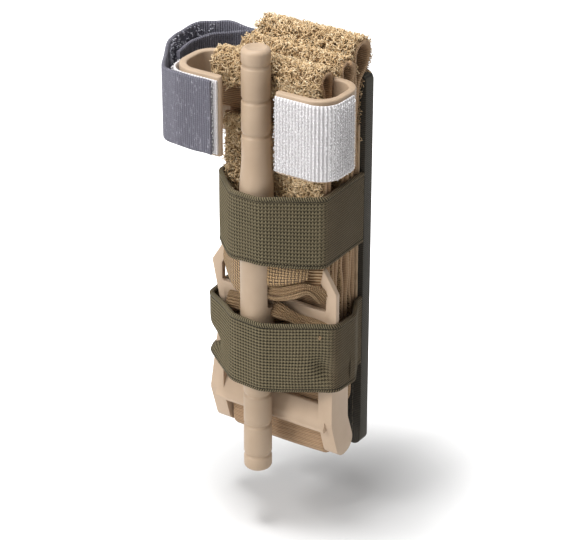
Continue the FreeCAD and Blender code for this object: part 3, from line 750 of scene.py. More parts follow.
class Bench:
    """Hand work on meshes with Blender's own operators."""

    @staticmethod
    def only(piece: bpy.types.Object) -> None:
        """Selects one object and makes it the active one.

        Args:
            piece: the object.
        """
        bpy.ops.object.select_all(action="DESELECT")
        piece.select_set(True)
        bpy.context.view_layer.objects.active = piece

    @staticmethod
    def points(piece: bpy.types.Object) -> Array:
        """The mesh's points as rows of three.

        Args:
            piece: the object that holds the mesh.

        Returns:
            The points, in metres.
        """
        flat = np.zeros(len(piece.data.vertices) * 3)
        piece.data.vertices.foreach_get("co", flat)
        return flat.reshape(-1, 3)

    @staticmethod
    def move_points(piece: bpy.types.Object, places: Array) -> None:
        """Puts the mesh's points at new places."""
        piece.data.vertices.foreach_set("co", np.ascontiguousarray(places, float).ravel())
        piece.data.update()

    @staticmethod
    def mark(piece: bpy.types.Object, name: str, values: Array) -> None:
        """Stores one value at each point."""
        made = piece.data.attributes.new(name, "FLOAT", "POINT")
        made.data.foreach_set("value", np.asarray(values, np.float32))

    @staticmethod
    def map_weave(piece: bpy.types.Object, along: Array, across: Array) -> None:
        """Writes the UV map from two distances held at each point.

        Args:
            piece: the piece.
            along: each point's distance along it.
            across: each point's distance across it.
        """
        corners = np.zeros(len(piece.data.loops), np.int32)
        piece.data.loops.foreach_get("vertex_index", corners)
        layer = piece.data.uv_layers.get("UVMap") or piece.data.uv_layers.new(name="UVMap")
        spots = np.stack([along[corners], across[corners]], 1)
        layer.data.foreach_set("uv", spots.astype(np.float32).ravel())

    @staticmethod
    def lattice(name: str, columns: int, rows: int) -> tuple[bpy.types.Object, Array, Array]:
        """Adds a grid and says which column and row each point is in.

        Args:
            name: the piece's name.
            columns: faces along the first direction.
            rows: faces along the second direction.

        Returns:
            The piece, and each point's column and row.
        """
        bpy.ops.object.select_all(action="DESELECT")
        bpy.ops.mesh.primitive_grid_add(x_subdivisions=columns, y_subdivisions=rows, size=1.0)
        piece = bpy.context.active_object
        piece.name = piece.data.name = name
        flat = Bench.points(piece)
        column = np.rint((flat[:, 0] + 0.5) * columns).astype(int)
        row = np.rint((flat[:, 1] + 0.5) * rows).astype(int)
        return piece, column, row

    @staticmethod
    def close(piece: bpy.types.Object) -> None:
        """Welds the seam, fills the open ends and turns all faces outwards.

        Args:
            piece: the piece.
        """
        Bench.only(piece)
        bpy.ops.object.mode_set(mode="EDIT")
        bpy.ops.mesh.select_all(action="SELECT")
        bpy.ops.mesh.remove_doubles(threshold=1e-7)
        bpy.ops.mesh.fill_holes(sides=0)
        bpy.ops.mesh.select_all(action="SELECT")
        bpy.ops.mesh.normals_make_consistent(inside=False)
        bpy.ops.object.mode_set(mode="OBJECT")

    @staticmethod
    def soften(piece: bpy.types.Object, angle: float = 40.0) -> None:
        """Shades smooth, with edges kept above an angle in degrees."""
        Bench.only(piece)
        bpy.ops.object.shade_smooth_by_angle(angle=math.radians(angle))

    @staticmethod
    def apply(piece: bpy.types.Object, kind: str, **settings: object) -> None:
        """Adds a modifier and applies it.

        Args:
            piece: the piece.
            kind: the modifier's type.
            settings: the modifier's attributes.
        """
        Bench.only(piece)
        modifier = piece.modifiers.new(kind.lower(), kind)
        for name, value in settings.items():
            setattr(modifier, name, value)
        bpy.ops.object.modifier_apply(modifier=modifier.name)

    @staticmethod
    def moulding(node: str, name: str, radius: float, steps: int = 3,
                 angle: float = 35.0) -> bpy.types.Object:
        """Copies a frame node into a piece with rounded edges.

        Args:
            node: the frame node to copy.
            name: the piece's name.
            radius: rounding of its edges, in metres.
            steps: segments of the rounding.
            angle: edges sharper than this are rounded, in degrees.

        Returns:
            The new piece, which stands for the node.
        """
        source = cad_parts[node]
        piece = bpy.data.objects.new(name, source.data.copy())
        bpy.context.scene.collection.objects.link(piece)
        piece.data.materials.clear()
        Bench.only(piece)
        bpy.ops.object.mode_set(mode="EDIT")
        bpy.ops.mesh.select_all(action="SELECT")
        bpy.ops.mesh.remove_doubles(threshold=2e-6)
        bpy.ops.mesh.dissolve_limited(angle_limit=math.radians(1.0))
        bpy.ops.mesh.normals_make_consistent(inside=False)
        bpy.ops.object.mode_set(mode="OBJECT")
        Bench.apply(piece, "BEVEL", width=radius, segments=steps, limit_method="ANGLE",
                    angle_limit=math.radians(angle), use_clamp_overlap=True, harden_normals=False)
        Bench.soften(piece, 32.0)
        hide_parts(node)
        return piece


@dataclass
class Section:
    """Cross section of a strip with rounded edges, finely divided on its outer face."""

    width: float
    thick: float
    outer_rows: int = 24
    inner_rows: int = 8
    rim_rows: int = 4

    def ring(self) -> Array:
        """The section's points in order: across, away from the middle, and side.

        Returns:
            The points, as rows of three.
        """
        radius = self.thick / 2
        flat = self.width / 2 - radius
        turn = np.linspace(math.pi / 2, -math.pi / 2, self.rim_rows + 1)[1:-1]
        outer = [(a, radius, 1.0) for a in np.linspace(-flat, flat, self.outer_rows + 1)]
        right = [(flat + radius * math.cos(t), radius * math.sin(t), math.sin(t)) for t in turn]
        inner = [(a, -radius, -1.0) for a in np.linspace(flat, -flat, self.inner_rows + 1)]
        left = [(-flat - radius * math.cos(t), radius * math.sin(t), math.sin(t)) for t in turn[::-1]]
        return np.array(outer + right + inner + left)


class Course:
    """The line that a strip follows, with the way its width and its face point."""

    def __init__(self, middle: Array, across: Array, face: Array) -> None:
        """Keeps the points and measures the length up to each one.

        Args:
            middle: points of the strip's middle line, in metres.
            across: where its width points at each.
            face: where its outer face looks at each.
        """
        self.middle = middle
        self.across = across
        self.face = face
        self.spread: Array | None = None
        steps = np.linalg.norm(np.diff(middle, axis=0), axis=1)
        self.length = np.concatenate([[0.0], np.cumsum(steps)])

    @staticmethod
    def rounded(points: Sequence[Point], radii: Sequence[float]) -> Array:
        """A path through points whose corners have these radii.

        Args:
            points: the route's corners.
            radii: the radius of each corner but the ends.

        Returns:
            Points of the path.
        """
        path = [np.array(points[0], float)]
        for index in range(1, len(points) - 1):
            before, here, after = (np.array(p, float) for p in points[index - 1:index + 2])
            back, on = (before - here), (after - here)
            reach_back, reach_on = np.linalg.norm(back), np.linalg.norm(on)
            back, on = back / reach_back, on / reach_on
            turn = math.acos(float(np.clip(back @ on, -1, 1)))
            if turn > 3.13:
                path.append(here)
                continue
            radius = min(radii[index - 1], 0.499 * min(reach_back, reach_on) * math.tan(turn / 2))
            reach = radius / math.tan(turn / 2)
            centre = here + (back + on) / np.linalg.norm(back + on) * (radius / math.sin(turn / 2))
            start, end = here + back * reach - centre, here + on * reach - centre
            sweep = math.pi - turn
            for share in np.linspace(0, 1, 17):
                path.append(centre + (start * math.sin((1 - share) * sweep)
                                      + end * math.sin(share * sweep)) / math.sin(sweep))
        path.append(np.array(points[-1], float))
        return np.array(path)

    @staticmethod
    def spaced(path: Array, step: float, smooth: int = 0) -> Array:
        """The same path with evenly spaced points, relaxed a few times.

        Args:
            path: points of the path.
            step: distance between the new points.
            smooth: how many times the points are relaxed.

        Returns:
            The new points.
        """
        lengths = np.concatenate([[0.0], np.cumsum(np.linalg.norm(np.diff(path, axis=0), axis=1))])
        keep = np.concatenate([[True], np.diff(lengths) > 1e-12])
        path, lengths = path[keep], lengths[keep]
        count = max(int(round(lengths[-1] / step)), 4)
        even = np.linspace(0, lengths[-1], count + 1)
        out = np.stack([np.interp(even, lengths, path[:, axis]) for axis in range(path.shape[1])], 1)
        for _ in range(smooth):
            out[1:-1] = out[1:-1] * 0.5 + (out[:-2] + out[2:]) * 0.25
        return out

    @classmethod
    def upright(cls, points: Sequence[Point], radii: Sequence[float], height: float, step: float,
                smooth: int = 0, flip: bool = False) -> "Course":
        """A strip that stands on edge: its route is seen from above, in mm.

        Args:
            points: the route's corners.
            radii: the radius of each corner but the ends.
            height: height of the strip's middle, in mm.
            step: distance between the course's points, in metres.
            smooth: how many times the points are relaxed.
            flip: whether the face looks the other way.

        Returns:
            The course.
        """
        flat = cls.spaced(cls.rounded(points, radii) * MM, step, smooth)
        middle = np.column_stack([flat, np.full(len(flat), height * MM)])
        along = np.gradient(flat, axis=0)
        along /= np.linalg.norm(along, axis=1)[:, None]
        face = np.column_stack([along[:, 1], -along[:, 0], np.zeros(len(flat))])
        across = np.tile([0.0, 0.0, 1.0], (len(flat), 1))
        return cls(middle, across, -face if flip else face)

    @classmethod
    def level(cls, points: Sequence[Point], radii: Sequence[float], step: float,
              smooth: int = 0, flip: bool = False) -> "Course":
        """A strip whose width lies along X: its route is seen from the side, in mm.

        Args:
            points: the route's corners.
            radii: the radius of each corner but the ends.
            step: distance between the course's points, in metres.
            smooth: how many times the points are relaxed.
            flip: whether the face looks the other way.

        Returns:
            The course.
        """
        flat = cls.spaced(cls.rounded(points, radii) * MM, step, smooth)
        middle = np.column_stack([np.zeros(len(flat)), flat])
        along = np.gradient(flat, axis=0)
        along /= np.linalg.norm(along, axis=1)[:, None]
        face = np.column_stack([np.zeros(len(flat)), -along[:, 1], along[:, 0]])
        across = np.tile([1.0, 0.0, 0.0], (len(flat), 1))
        return cls(middle, across, -face if flip else face)

    @classmethod
    def free(cls, points: Sequence[Spot], faces: Sequence[Spot], step: float) -> "Course":
        """A ribbon in space: points in mm along it, and where its face looks at each.

        Args:
            points: points along the ribbon.
            faces: where its face looks at each point.
            step: distance between the course's points, in metres.

        Returns:
            The course.
        """
        knots = np.array(points, float) * MM
        path, looks = knots, np.array(faces, float)
        for _ in range(4):
            path, looks = cls.cut(path), cls.cut(looks)
        both = np.column_stack([path, looks])
        lengths = np.concatenate([[0.0], np.cumsum(np.linalg.norm(np.diff(path, axis=0), axis=1))])
        even = np.linspace(0, lengths[-1], max(int(lengths[-1] / step), 6) + 1)
        both = np.stack([np.interp(even, lengths, both[:, k]) for k in range(6)], 1)
        middle, looks = both[:, :3], both[:, 3:]
        along = np.gradient(middle, axis=0)
        along /= np.linalg.norm(along, axis=1)[:, None]
        looks = looks - along * np.sum(looks * along, 1)[:, None]
        looks /= np.linalg.norm(looks, axis=1)[:, None]
        return cls(middle, np.cross(looks, along), looks)

    @classmethod
    def between(cls, first: Sequence[Spot], second: Sequence[Spot], step: float,
                flip: bool = False) -> "Course":
        """A ribbon stretched between two edges, each given in mm from one end.

        Args:
            first: points of one edge.
            second: points of the other edge.
            step: distance between the course's points, in metres.
            flip: whether the face looks the other way.

        Returns:
            The course, with the ribbon's own width at each point.
        """
        edges = [np.array(edge, float) * MM for edge in (first, second)]
        for _ in range(4):
            edges = [cls.cut(edge) for edge in edges]
        both = np.column_stack(edges)
        middle = (both[:, :3] + both[:, 3:]) / 2
        lengths = np.concatenate([[0.0], np.cumsum(np.linalg.norm(np.diff(middle, axis=0), axis=1))])
        even = np.linspace(0, lengths[-1], max(int(lengths[-1] / step), 6) + 1)
        both = np.stack([np.interp(even, lengths, both[:, k]) for k in range(6)], 1)
        middle, gap = (both[:, :3] + both[:, 3:]) / 2, both[:, 3:] - both[:, :3]
        spread = np.linalg.norm(gap, axis=1)
        across = gap / spread[:, None]
        face = np.cross(np.gradient(middle, axis=0), across)
        face /= np.linalg.norm(face, axis=1)[:, None]
        course = cls(middle, across, -face if flip else face)
        course.spread = spread
        return course

    @staticmethod
    def cut(path: Array) -> Array:
        """Cuts a path's corners once, keeping its ends.

        Args:
            path: points of the path.

        Returns:
            The points of the softer path.
        """
        inner = np.empty((2 * (len(path) - 1), path.shape[1]))
        inner[0::2] = path[:-1] * 0.75 + path[1:] * 0.25
        inner[1::2] = path[:-1] * 0.25 + path[1:] * 0.75
        return np.vstack([path[:1], inner, path[-1:]])

    def moved(self, across: float) -> "Course":
        """The same line, moved along X by a distance in metres."""
        self.middle[:, 0] += across
        return self

    def strip(self, name: str, section: Section, relief: Callable | None = None,
              warp: Callable | None = None, marks: dict[str, Callable] | None = None,
              girth: bool = False) -> bpy.types.Object:
        """Makes the strip as one closed shell.

        Args:
            name: the piece's name.
            section: its cross section.
            relief: extra height of the faces from along, across and side, in metres.
            warp: moves the finished points, given them with along and across.
            marks: values to store at each point, from along, across and side.
            girth: whether the UV map goes round the section, as on a fat cord.

        Returns:
            The strip, with its UV map in metres and its "side" mark.
        """
        ring = section.ring()
        piece, column, row = Bench.lattice(name, len(self.middle) - 1, len(ring))
        turn = np.linalg.norm(np.diff(np.vstack([ring, ring[:1]])[:, :2], axis=0), axis=1)
        round_about = np.concatenate([[0.0], np.cumsum(turn)])[row]
        row = row % len(ring)
        across, away, side = ring[row].T
        along = self.length[column]
        share = self.spread[column] / section.width if self.spread is not None else 1.0
        width_place = round_about if girth else across
        height = relief(along, width_place, side) if relief else 0.0
        raised = away + height * np.sign(side)
        places = (self.middle[column] + self.across[column] * (across * share)[:, None]
                  + self.face[column] * raised[:, None])
        if warp:
            places = warp(places, along, across)
        Bench.move_points(piece, places)
        Bench.map_weave(piece, along, width_place)
        Bench.mark(piece, "side", side)
        for label, value in (marks or {}).items():
            Bench.mark(piece, label, value(along, across, side))
        Bench.close(piece)
        Bench.soften(piece, 55.0)
        return piece

    def surface(self, lift: float, half_width: float, spots: Array,
                span: tuple[float, float]) -> tuple[Array, Array, Array, Array]:
        """Places on the outer face.

        Args:
            lift: height above the strip's middle, in metres.
            half_width: half the strip's width, in metres.
            spots: rows of two shares from 0 to 1: along the span and across.
            span: where the spots start and end along the strip, in metres.

        Returns:
            Each place with its three directions: along, across and away.
        """
        where = span[0] + spots[:, 0] * (span[1] - span[0])
        index = np.clip(np.searchsorted(self.length, where), 1, len(self.length) - 1)
        share = ((where - self.length[index - 1])
                 / (self.length[index] - self.length[index - 1]))[:, None]
        at = self.middle[index - 1] * (1 - share) + self.middle[index] * share
        side = (spots[:, 1] * 2 - 1) * half_width
        face, across = self.face[index], self.across[index]
        along = np.cross(across, face)
        return at + across * side[:, None] + face * lift, along, across, face


class Tuft:
    """One bent filament that is copied many times over a fabric."""

    def __init__(self, line: Sequence[Point], thick: float, parts: int = 7) -> None:
        """Models the filament once as a three-sided tube along a bent line, in mm.

        Args:
            line: corners of the line, seen from its side.
            thick: the filament's thickness.
            parts: how many lengths it is divided into.
        """
        spine = Course.spaced(Course.cut(Course.cut(np.array(line, float) * MM)),
                              float(np.sum(np.linalg.norm(np.diff(line, axis=0), axis=1))) * MM / parts)
        rings, sides = len(spine), 3
        piece, column, row = Bench.lattice("tuft_pattern", rings - 1, sides)
        along = np.gradient(spine, axis=0)
        along /= np.linalg.norm(along, axis=1)[:, None]
        angle = (row % sides) * (2 * math.pi / sides)
        out = np.stack([-along[column, 1], along[column, 0]], 1)
        radius = thick * MM / 2
        flat = spine[column] + out * (np.cos(angle) * radius)[:, None]
        Bench.move_points(piece, np.column_stack([flat[:, 0], np.sin(angle) * radius, flat[:, 1]]))
        Bench.close(piece)
        self.places = Bench.points(piece)
        self.faces = [tuple(face.vertices) for face in piece.data.polygons]
        bpy.data.meshes.remove(piece.data)

    def scatter(self, name: str, at: Array, along: Array, across: Array, away: Array,
                chance: np.random.Generator, turn: float, vary: float, lean: float) -> bpy.types.Object:
        """Copies the filament to many places as one piece.

        Args:
            name: the piece's name.
            at: the places, in metres.
            along: direction of each fabric's length.
            across: direction of each fabric's width.
            away: direction away from each fabric.
            chance: the seeded source of variation.
            turn: how far a copy may turn about its root, in radians.
            vary: how much its size varies, as a share.
            lean: how far its tip may lean, as a share of its height.

        Returns:
            The piece, with "tone" and "rise" marks.
        """
        count, size = len(at), len(self.places)
        spin = chance.uniform(-turn, turn, count)
        first = along * np.cos(spin)[:, None] + across * np.sin(spin)[:, None]
        second = across * np.cos(spin)[:, None] - along * np.sin(spin)[:, None]
        scale = 1 + chance.uniform(-vary, vary, (count, 3))
        tilt = chance.normal(0, lean, (count, 2))
        x = self.places[None, :, 0] * scale[:, 0:1]
        y = self.places[None, :, 1] * scale[:, 1:2]
        z = self.places[None, :, 2] * scale[:, 2:3]
        x = x + z * tilt[:, 0:1]
        y = y + z * tilt[:, 1:2]
        cloud = (at[:, None, :] + first[:, None, :] * x[..., None] + second[:, None, :] * y[..., None]
                 + away[:, None, :] * z[..., None])
        mesh = bpy.data.meshes.new(name)
        loops = np.array([len(face) for face in self.faces])
        corners = np.concatenate([np.array(face) for face in self.faces])
        total = (corners[None, :] + np.arange(count)[:, None] * size).ravel()
        mesh.vertices.add(count * size)
        mesh.vertices.foreach_set("co", cloud.ravel())
        mesh.loops.add(len(total))
        mesh.loops.foreach_set("vertex_index", total.astype(np.int32))
        sizes = np.tile(loops, count)
        mesh.polygons.add(len(sizes))
        starts = np.concatenate([[0], np.cumsum(sizes)[:-1]])
        mesh.polygons.foreach_set("loop_start", starts.astype(np.int32))
        mesh.update(calc_edges=True)
        mesh.validate()
        piece = bpy.data.objects.new(name, mesh)
        bpy.context.scene.collection.objects.link(piece)
        rise = self.places[:, 2] / max(self.places[:, 2].max(), 1e-9)
        Bench.mark(piece, "rise", np.tile(rise, count))
        Bench.mark(piece, "tone", np.repeat(chance.uniform(0, 1, count), size))
        for polygon in mesh.polygons:
            polygon.use_smooth = True
        return piece


# ------------------------------------------------------------------ sub-assemblies
class Body(Enum):
    """The moving bodies of the frame."""

    HOLDER = "holder"
    BELT_FLAP = "belt_flap"
    PACK = "pack"
    CARRIER = "windlass_carrier"
    WINDLASS = "windlass"
    STRAP_END = "time_strap_free_end"

    def carry(self, slot: str, *pieces: bpy.types.Object) -> None:
        """Fixes finished pieces to this body.

        Args:
            slot: not used.
            pieces: the pieces.
        """
        for piece in pieces:
            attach(piece, self.value)
            LOG.info("%s rides on %s, %d faces", piece.name, self.value, len(piece.data.polygons))


@dataclass
class Windlass:
    """The rod that winds the band: grips with grooves, thick middle, ribbon slot."""

    half_length: float = 75.0
    grip_radius: float = 4.7
    middle_radius: float = 5.5
    half_middle: float = 27.0
    taper: float = 12.0
    edge: float = 1.5
    grooves: tuple[float, ...] = (69.5, 58.0, 46.5)
    groove_half: float = 0.85
    groove_depth: float = 0.5
    slot_length: float = 27.0
    slot_width: float = 3.4

    def half_profile(self) -> list[Point]:
        """Radius and height of one half of the rod, from its end to its middle, in mm.

        Returns:
            The profile's points.
        """
        turn = [math.radians(angle) for angle in range(90, -1, -15)]
        profile = [(0.35, self.half_length - 0.35), (self.grip_radius * 0.5, self.half_length - 0.3),
                   (self.grip_radius - self.edge - 0.25, self.half_length - 0.1)]
        profile += [(self.grip_radius - self.edge + self.edge * math.cos(a),
                     self.half_length - self.edge + self.edge * math.sin(a)) for a in turn]
        for level in self.grooves:
            for share in (1.25, 1.0, 0.7, 0.35, 0.0, -0.35, -0.7, -1.0, -1.25):
                dip = self.groove_depth * (math.cos(share / 1.25 * math.pi) + 1) / 2
                profile.append((self.grip_radius - dip, level + share * self.groove_half))
        for share in (0.0, 0.1, 0.3, 0.5, 0.7, 0.9, 1.0):
            swell = (1 - math.cos(share * math.pi)) / 2
            profile.append((self.grip_radius + (self.middle_radius - self.grip_radius) * swell,
                            self.half_middle + self.taper * (1 - share)))
        profile.append((self.middle_radius, self.slot_length / 2 + 1.5))
        return profile

    def build_rod(self) -> bpy.types.Object:
        """Turns the rod from its profile and cuts the slot through it.

        Returns:
            The rod, which stands for its frame node.
        """
        low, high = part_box("windlass_rod")
        centre = np.array((low + high) / 2)
        upper = self.half_profile()
        profile = np.array(upper + [(r, 0.0) for r, _ in upper[-1:]] + [(r, -z) for r, z in upper[::-1]])
        around = 96
        rod, column, row = Bench.lattice("windlass_rod_moulding", around, len(profile) - 1)
        angle = (column % around) * (2 * math.pi / around)
        radius, level = (profile[row] * MM).T
        turned = np.stack([radius * np.cos(angle), radius * np.sin(angle), level], 1)
        Bench.move_points(rod, centre + turned)
        Bench.close(rod)
        bpy.ops.object.select_all(action="DESELECT")
        bpy.ops.mesh.primitive_cube_add(size=1.0, location=centre)
        cutter = bpy.context.active_object
        Bench.move_points(cutter, Bench.points(cutter)
                          * np.array([0.03, self.slot_width * MM, self.slot_length * MM]))
        Bench.only(cutter)
        bpy.ops.object.transform_apply(location=True, rotation=True, scale=True)
        Bench.apply(cutter, "BEVEL", width=0.0012, segments=4, limit_method="ANGLE")
        Bench.apply(rod, "BOOLEAN", operation="DIFFERENCE", object=cutter, solver="EXACT")
        bpy.data.objects.remove(cutter)
        Bench.soften(rod, 38.0)
        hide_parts("windlass_rod")
        return rod

    def build(self) -> None:
        """Makes and dresses the rod."""
        rod = self.build_rod()
        MouldedPlastic().dress(rod)
        Body.WINDLASS.carry("moulded_plastic", rod)


@dataclass
class ClipAssembly:
    """The C-shaped clip, the hook tape on its arms and the time strap."""

    arm_front: float = -37.3
    arm_side: float = 28.6
    tip: float = 10.9
    bend: float = 7.5
    middle: float = 57.4
    tape_width: float = 25.0
    tape_thick: float = 0.75
    strap_thick: float = 1.15
    strap_lift: float = 3.15
    strap_rib: float = 0.82
    row_pitch: float = 1.15

    def patch_course(self, side: int) -> Course:
        """The middle of the hook tape on one arm: side is 1 right, -1 left.

        Args:
            side: which arm.

        Returns:
            The course of the tape.
        """
        over = 1.2 + 0.05 + self.tape_thick / 2
        points = [(self.tip, self.arm_front - over), (self.arm_side + over, self.arm_front - over),
                  (self.arm_side + over, -25.2)]
        if side < 0:
            points = [(-x, y) for x, y in reversed(points)]
        course = Course.upright(points, [self.bend + over], self.middle, 0.14 * MM)
        return course.moved(middle_of("windlass_clip"))

    def build_patch(self, side: int, name: str, node: str, chance: np.random.Generator) -> None:
        """Makes hook tape for one arm, with its hooks.

        Args:
            side: 1 for the right arm, -1 for the left.
            name: the tape's name.
            node: the frame node that it stands for.
            chance: the seeded source of variation.
        """
        course = self.patch_course(side)
        rib = 2 * math.pi / (self.row_pitch * MM)
        tape = course.strip(name, Section(self.tape_width * MM, self.tape_thick * MM, 40, 6, 4),
                            relief=lambda u, v, s: np.where(s > 0.5, 0.00009 * np.sin(u * rib), 0.0))
        HookBase().dress(tape)
        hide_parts(node)
        Body.PACK.carry("hook_tape", tape)
        total = course.length[-1]
        columns = int(total / (self.row_pitch * MM))
        rows = int(self.tape_width / 1.12)
        crest = (np.arange(columns) + 0.25) * self.row_pitch * MM / total
        where = np.array([(c, (r + 0.5 + 0.25 * (k % 2)) / (rows + 0.25))
                          for k, c in enumerate(crest) for r in range(rows)])
        where += chance.normal(0, 1, where.shape) * [0.0016, 0.004]
        where = np.clip(where, 0.004, 0.992)
        at, along, across, away = course.surface(self.tape_thick / 2 * MM, 12.2 * MM, where, (0.0, total))
        hook = Tuft([(-0.12, -0.15), (-0.1, 0.45), (0.0, 0.85), (0.3, 0.95), (0.5, 0.62)], 0.24)
        flip = np.where(chance.random(len(at)) < 0.5, 1.0, -1.0)[:, None]
        hooks = hook.scatter(name + "_hooks", at, across * flip, along * flip, away, chance, 0.5, 0.16, 0.1)
        HookYarn().dress(hooks)
        Body.PACK.carry("hook_tape", hooks)

    def strap_course(self) -> Course:
        """The time strap, from the left arm's tip round to its free end.

        Returns:
            The course of the strap.
        """
        front = self.arm_front - self.strap_lift
        side = -self.arm_side
        points = [(-12.2, front), (side + 3.7, front), (side - 4.2, front + 3.2),
                  (side - 15.5, front + 22.0), (side - 18.5, front + 38.0), (side - 9.0, front + 45.5),
                  (side + 3.5, front + 45.5), (side - 3.0, front + 39.0), (side - 9.0, front + 27.0),
                  (side - 7.6, front + 16.0)]
        radii = [8, 6, 12, 9, 7, 1.0, 12, 10]
        course = Course.upright(points, radii, self.middle, 0.16 * MM, 14, flip=True)
        return course.moved(middle_of("windlass_clip"))

    def build_time_strap(self, chance: np.random.Generator) -> None:
        """Makes the brushed strap and the loose hooks seen inside its turn.

        Args:
            chance: the seeded source of variation.
        """
        rib = 2 * math.pi / (self.strap_rib * MM)
        course = self.strap_course()

        def warp(places: Array, along: Array, across: Array) -> Array:
            """Lets the strap's edges wander a little.

            Args:
                places: the strip's points, in metres.
                along: their distance along it.
                across: their distance across it.

            Returns:
                The moved points.
            """
            out = places.copy()
            out[:, 2] += 0.00035 * np.sin(along * 210) + 0.0002 * np.sin(along * 530 + 1)
            return out

        section = Section(self.tape_width * MM, self.strap_thick * MM, 34, 14, 5)
        strap = course.strip("time_strap_knit", section, warp=warp,
                             relief=lambda u, v, s: 0.00006 * np.sin(u * rib) * (np.abs(s) > 0.5))
        BrushedKnit().dress(strap)
        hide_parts("time_strap_base", "time_strap_tail")
        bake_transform(strap)
        LOG.info("%s bends from the clip to its free end", strap.name)
        inner = Course(course.middle, course.across, -course.face)
        spots = chance.random((420, 2))
        at, along, across, away = inner.surface(self.strap_thick / 2 * MM, 12.0 * MM, spots, (0.036, 0.066))
        curl = Tuft([(-0.25, -0.15), (-0.25, 0.45), (0.0, 0.75), (0.3, 0.5), (0.3, -0.1)], 0.16)
        curls = curl.scatter("time_strap_inner_hooks", at, along, across, away, chance, 3.1, 0.3, 0.3)
        # The dark root colour of these hooks is painted shade too.
        HookYarn("lavender_hooks", (0.78, 0.77, 0.86), (0.3, 0.29, 0.36)).dress(curls)
        Body.STRAP_END.carry("time_strap", curls)

    def build(self, chance: np.random.Generator) -> None:
        """Makes and dresses the clip with all that is fixed to it.

        Args:
            chance: the seeded source of variation.
        """
        clip = Bench.moulding("windlass_clip", "windlass_clip_moulding", 0.00055, 4)
        MouldedPlastic().dress(clip)
        Body.PACK.carry("moulded_plastic", clip)
        self.build_patch(1, "hook_tape_right_arm", "clip_hook_patch_right", chance)
        self.build_patch(-1, "hook_tape_left_arm", "clip_hook_patch_left", chance)
        self.build_time_strap(chance)


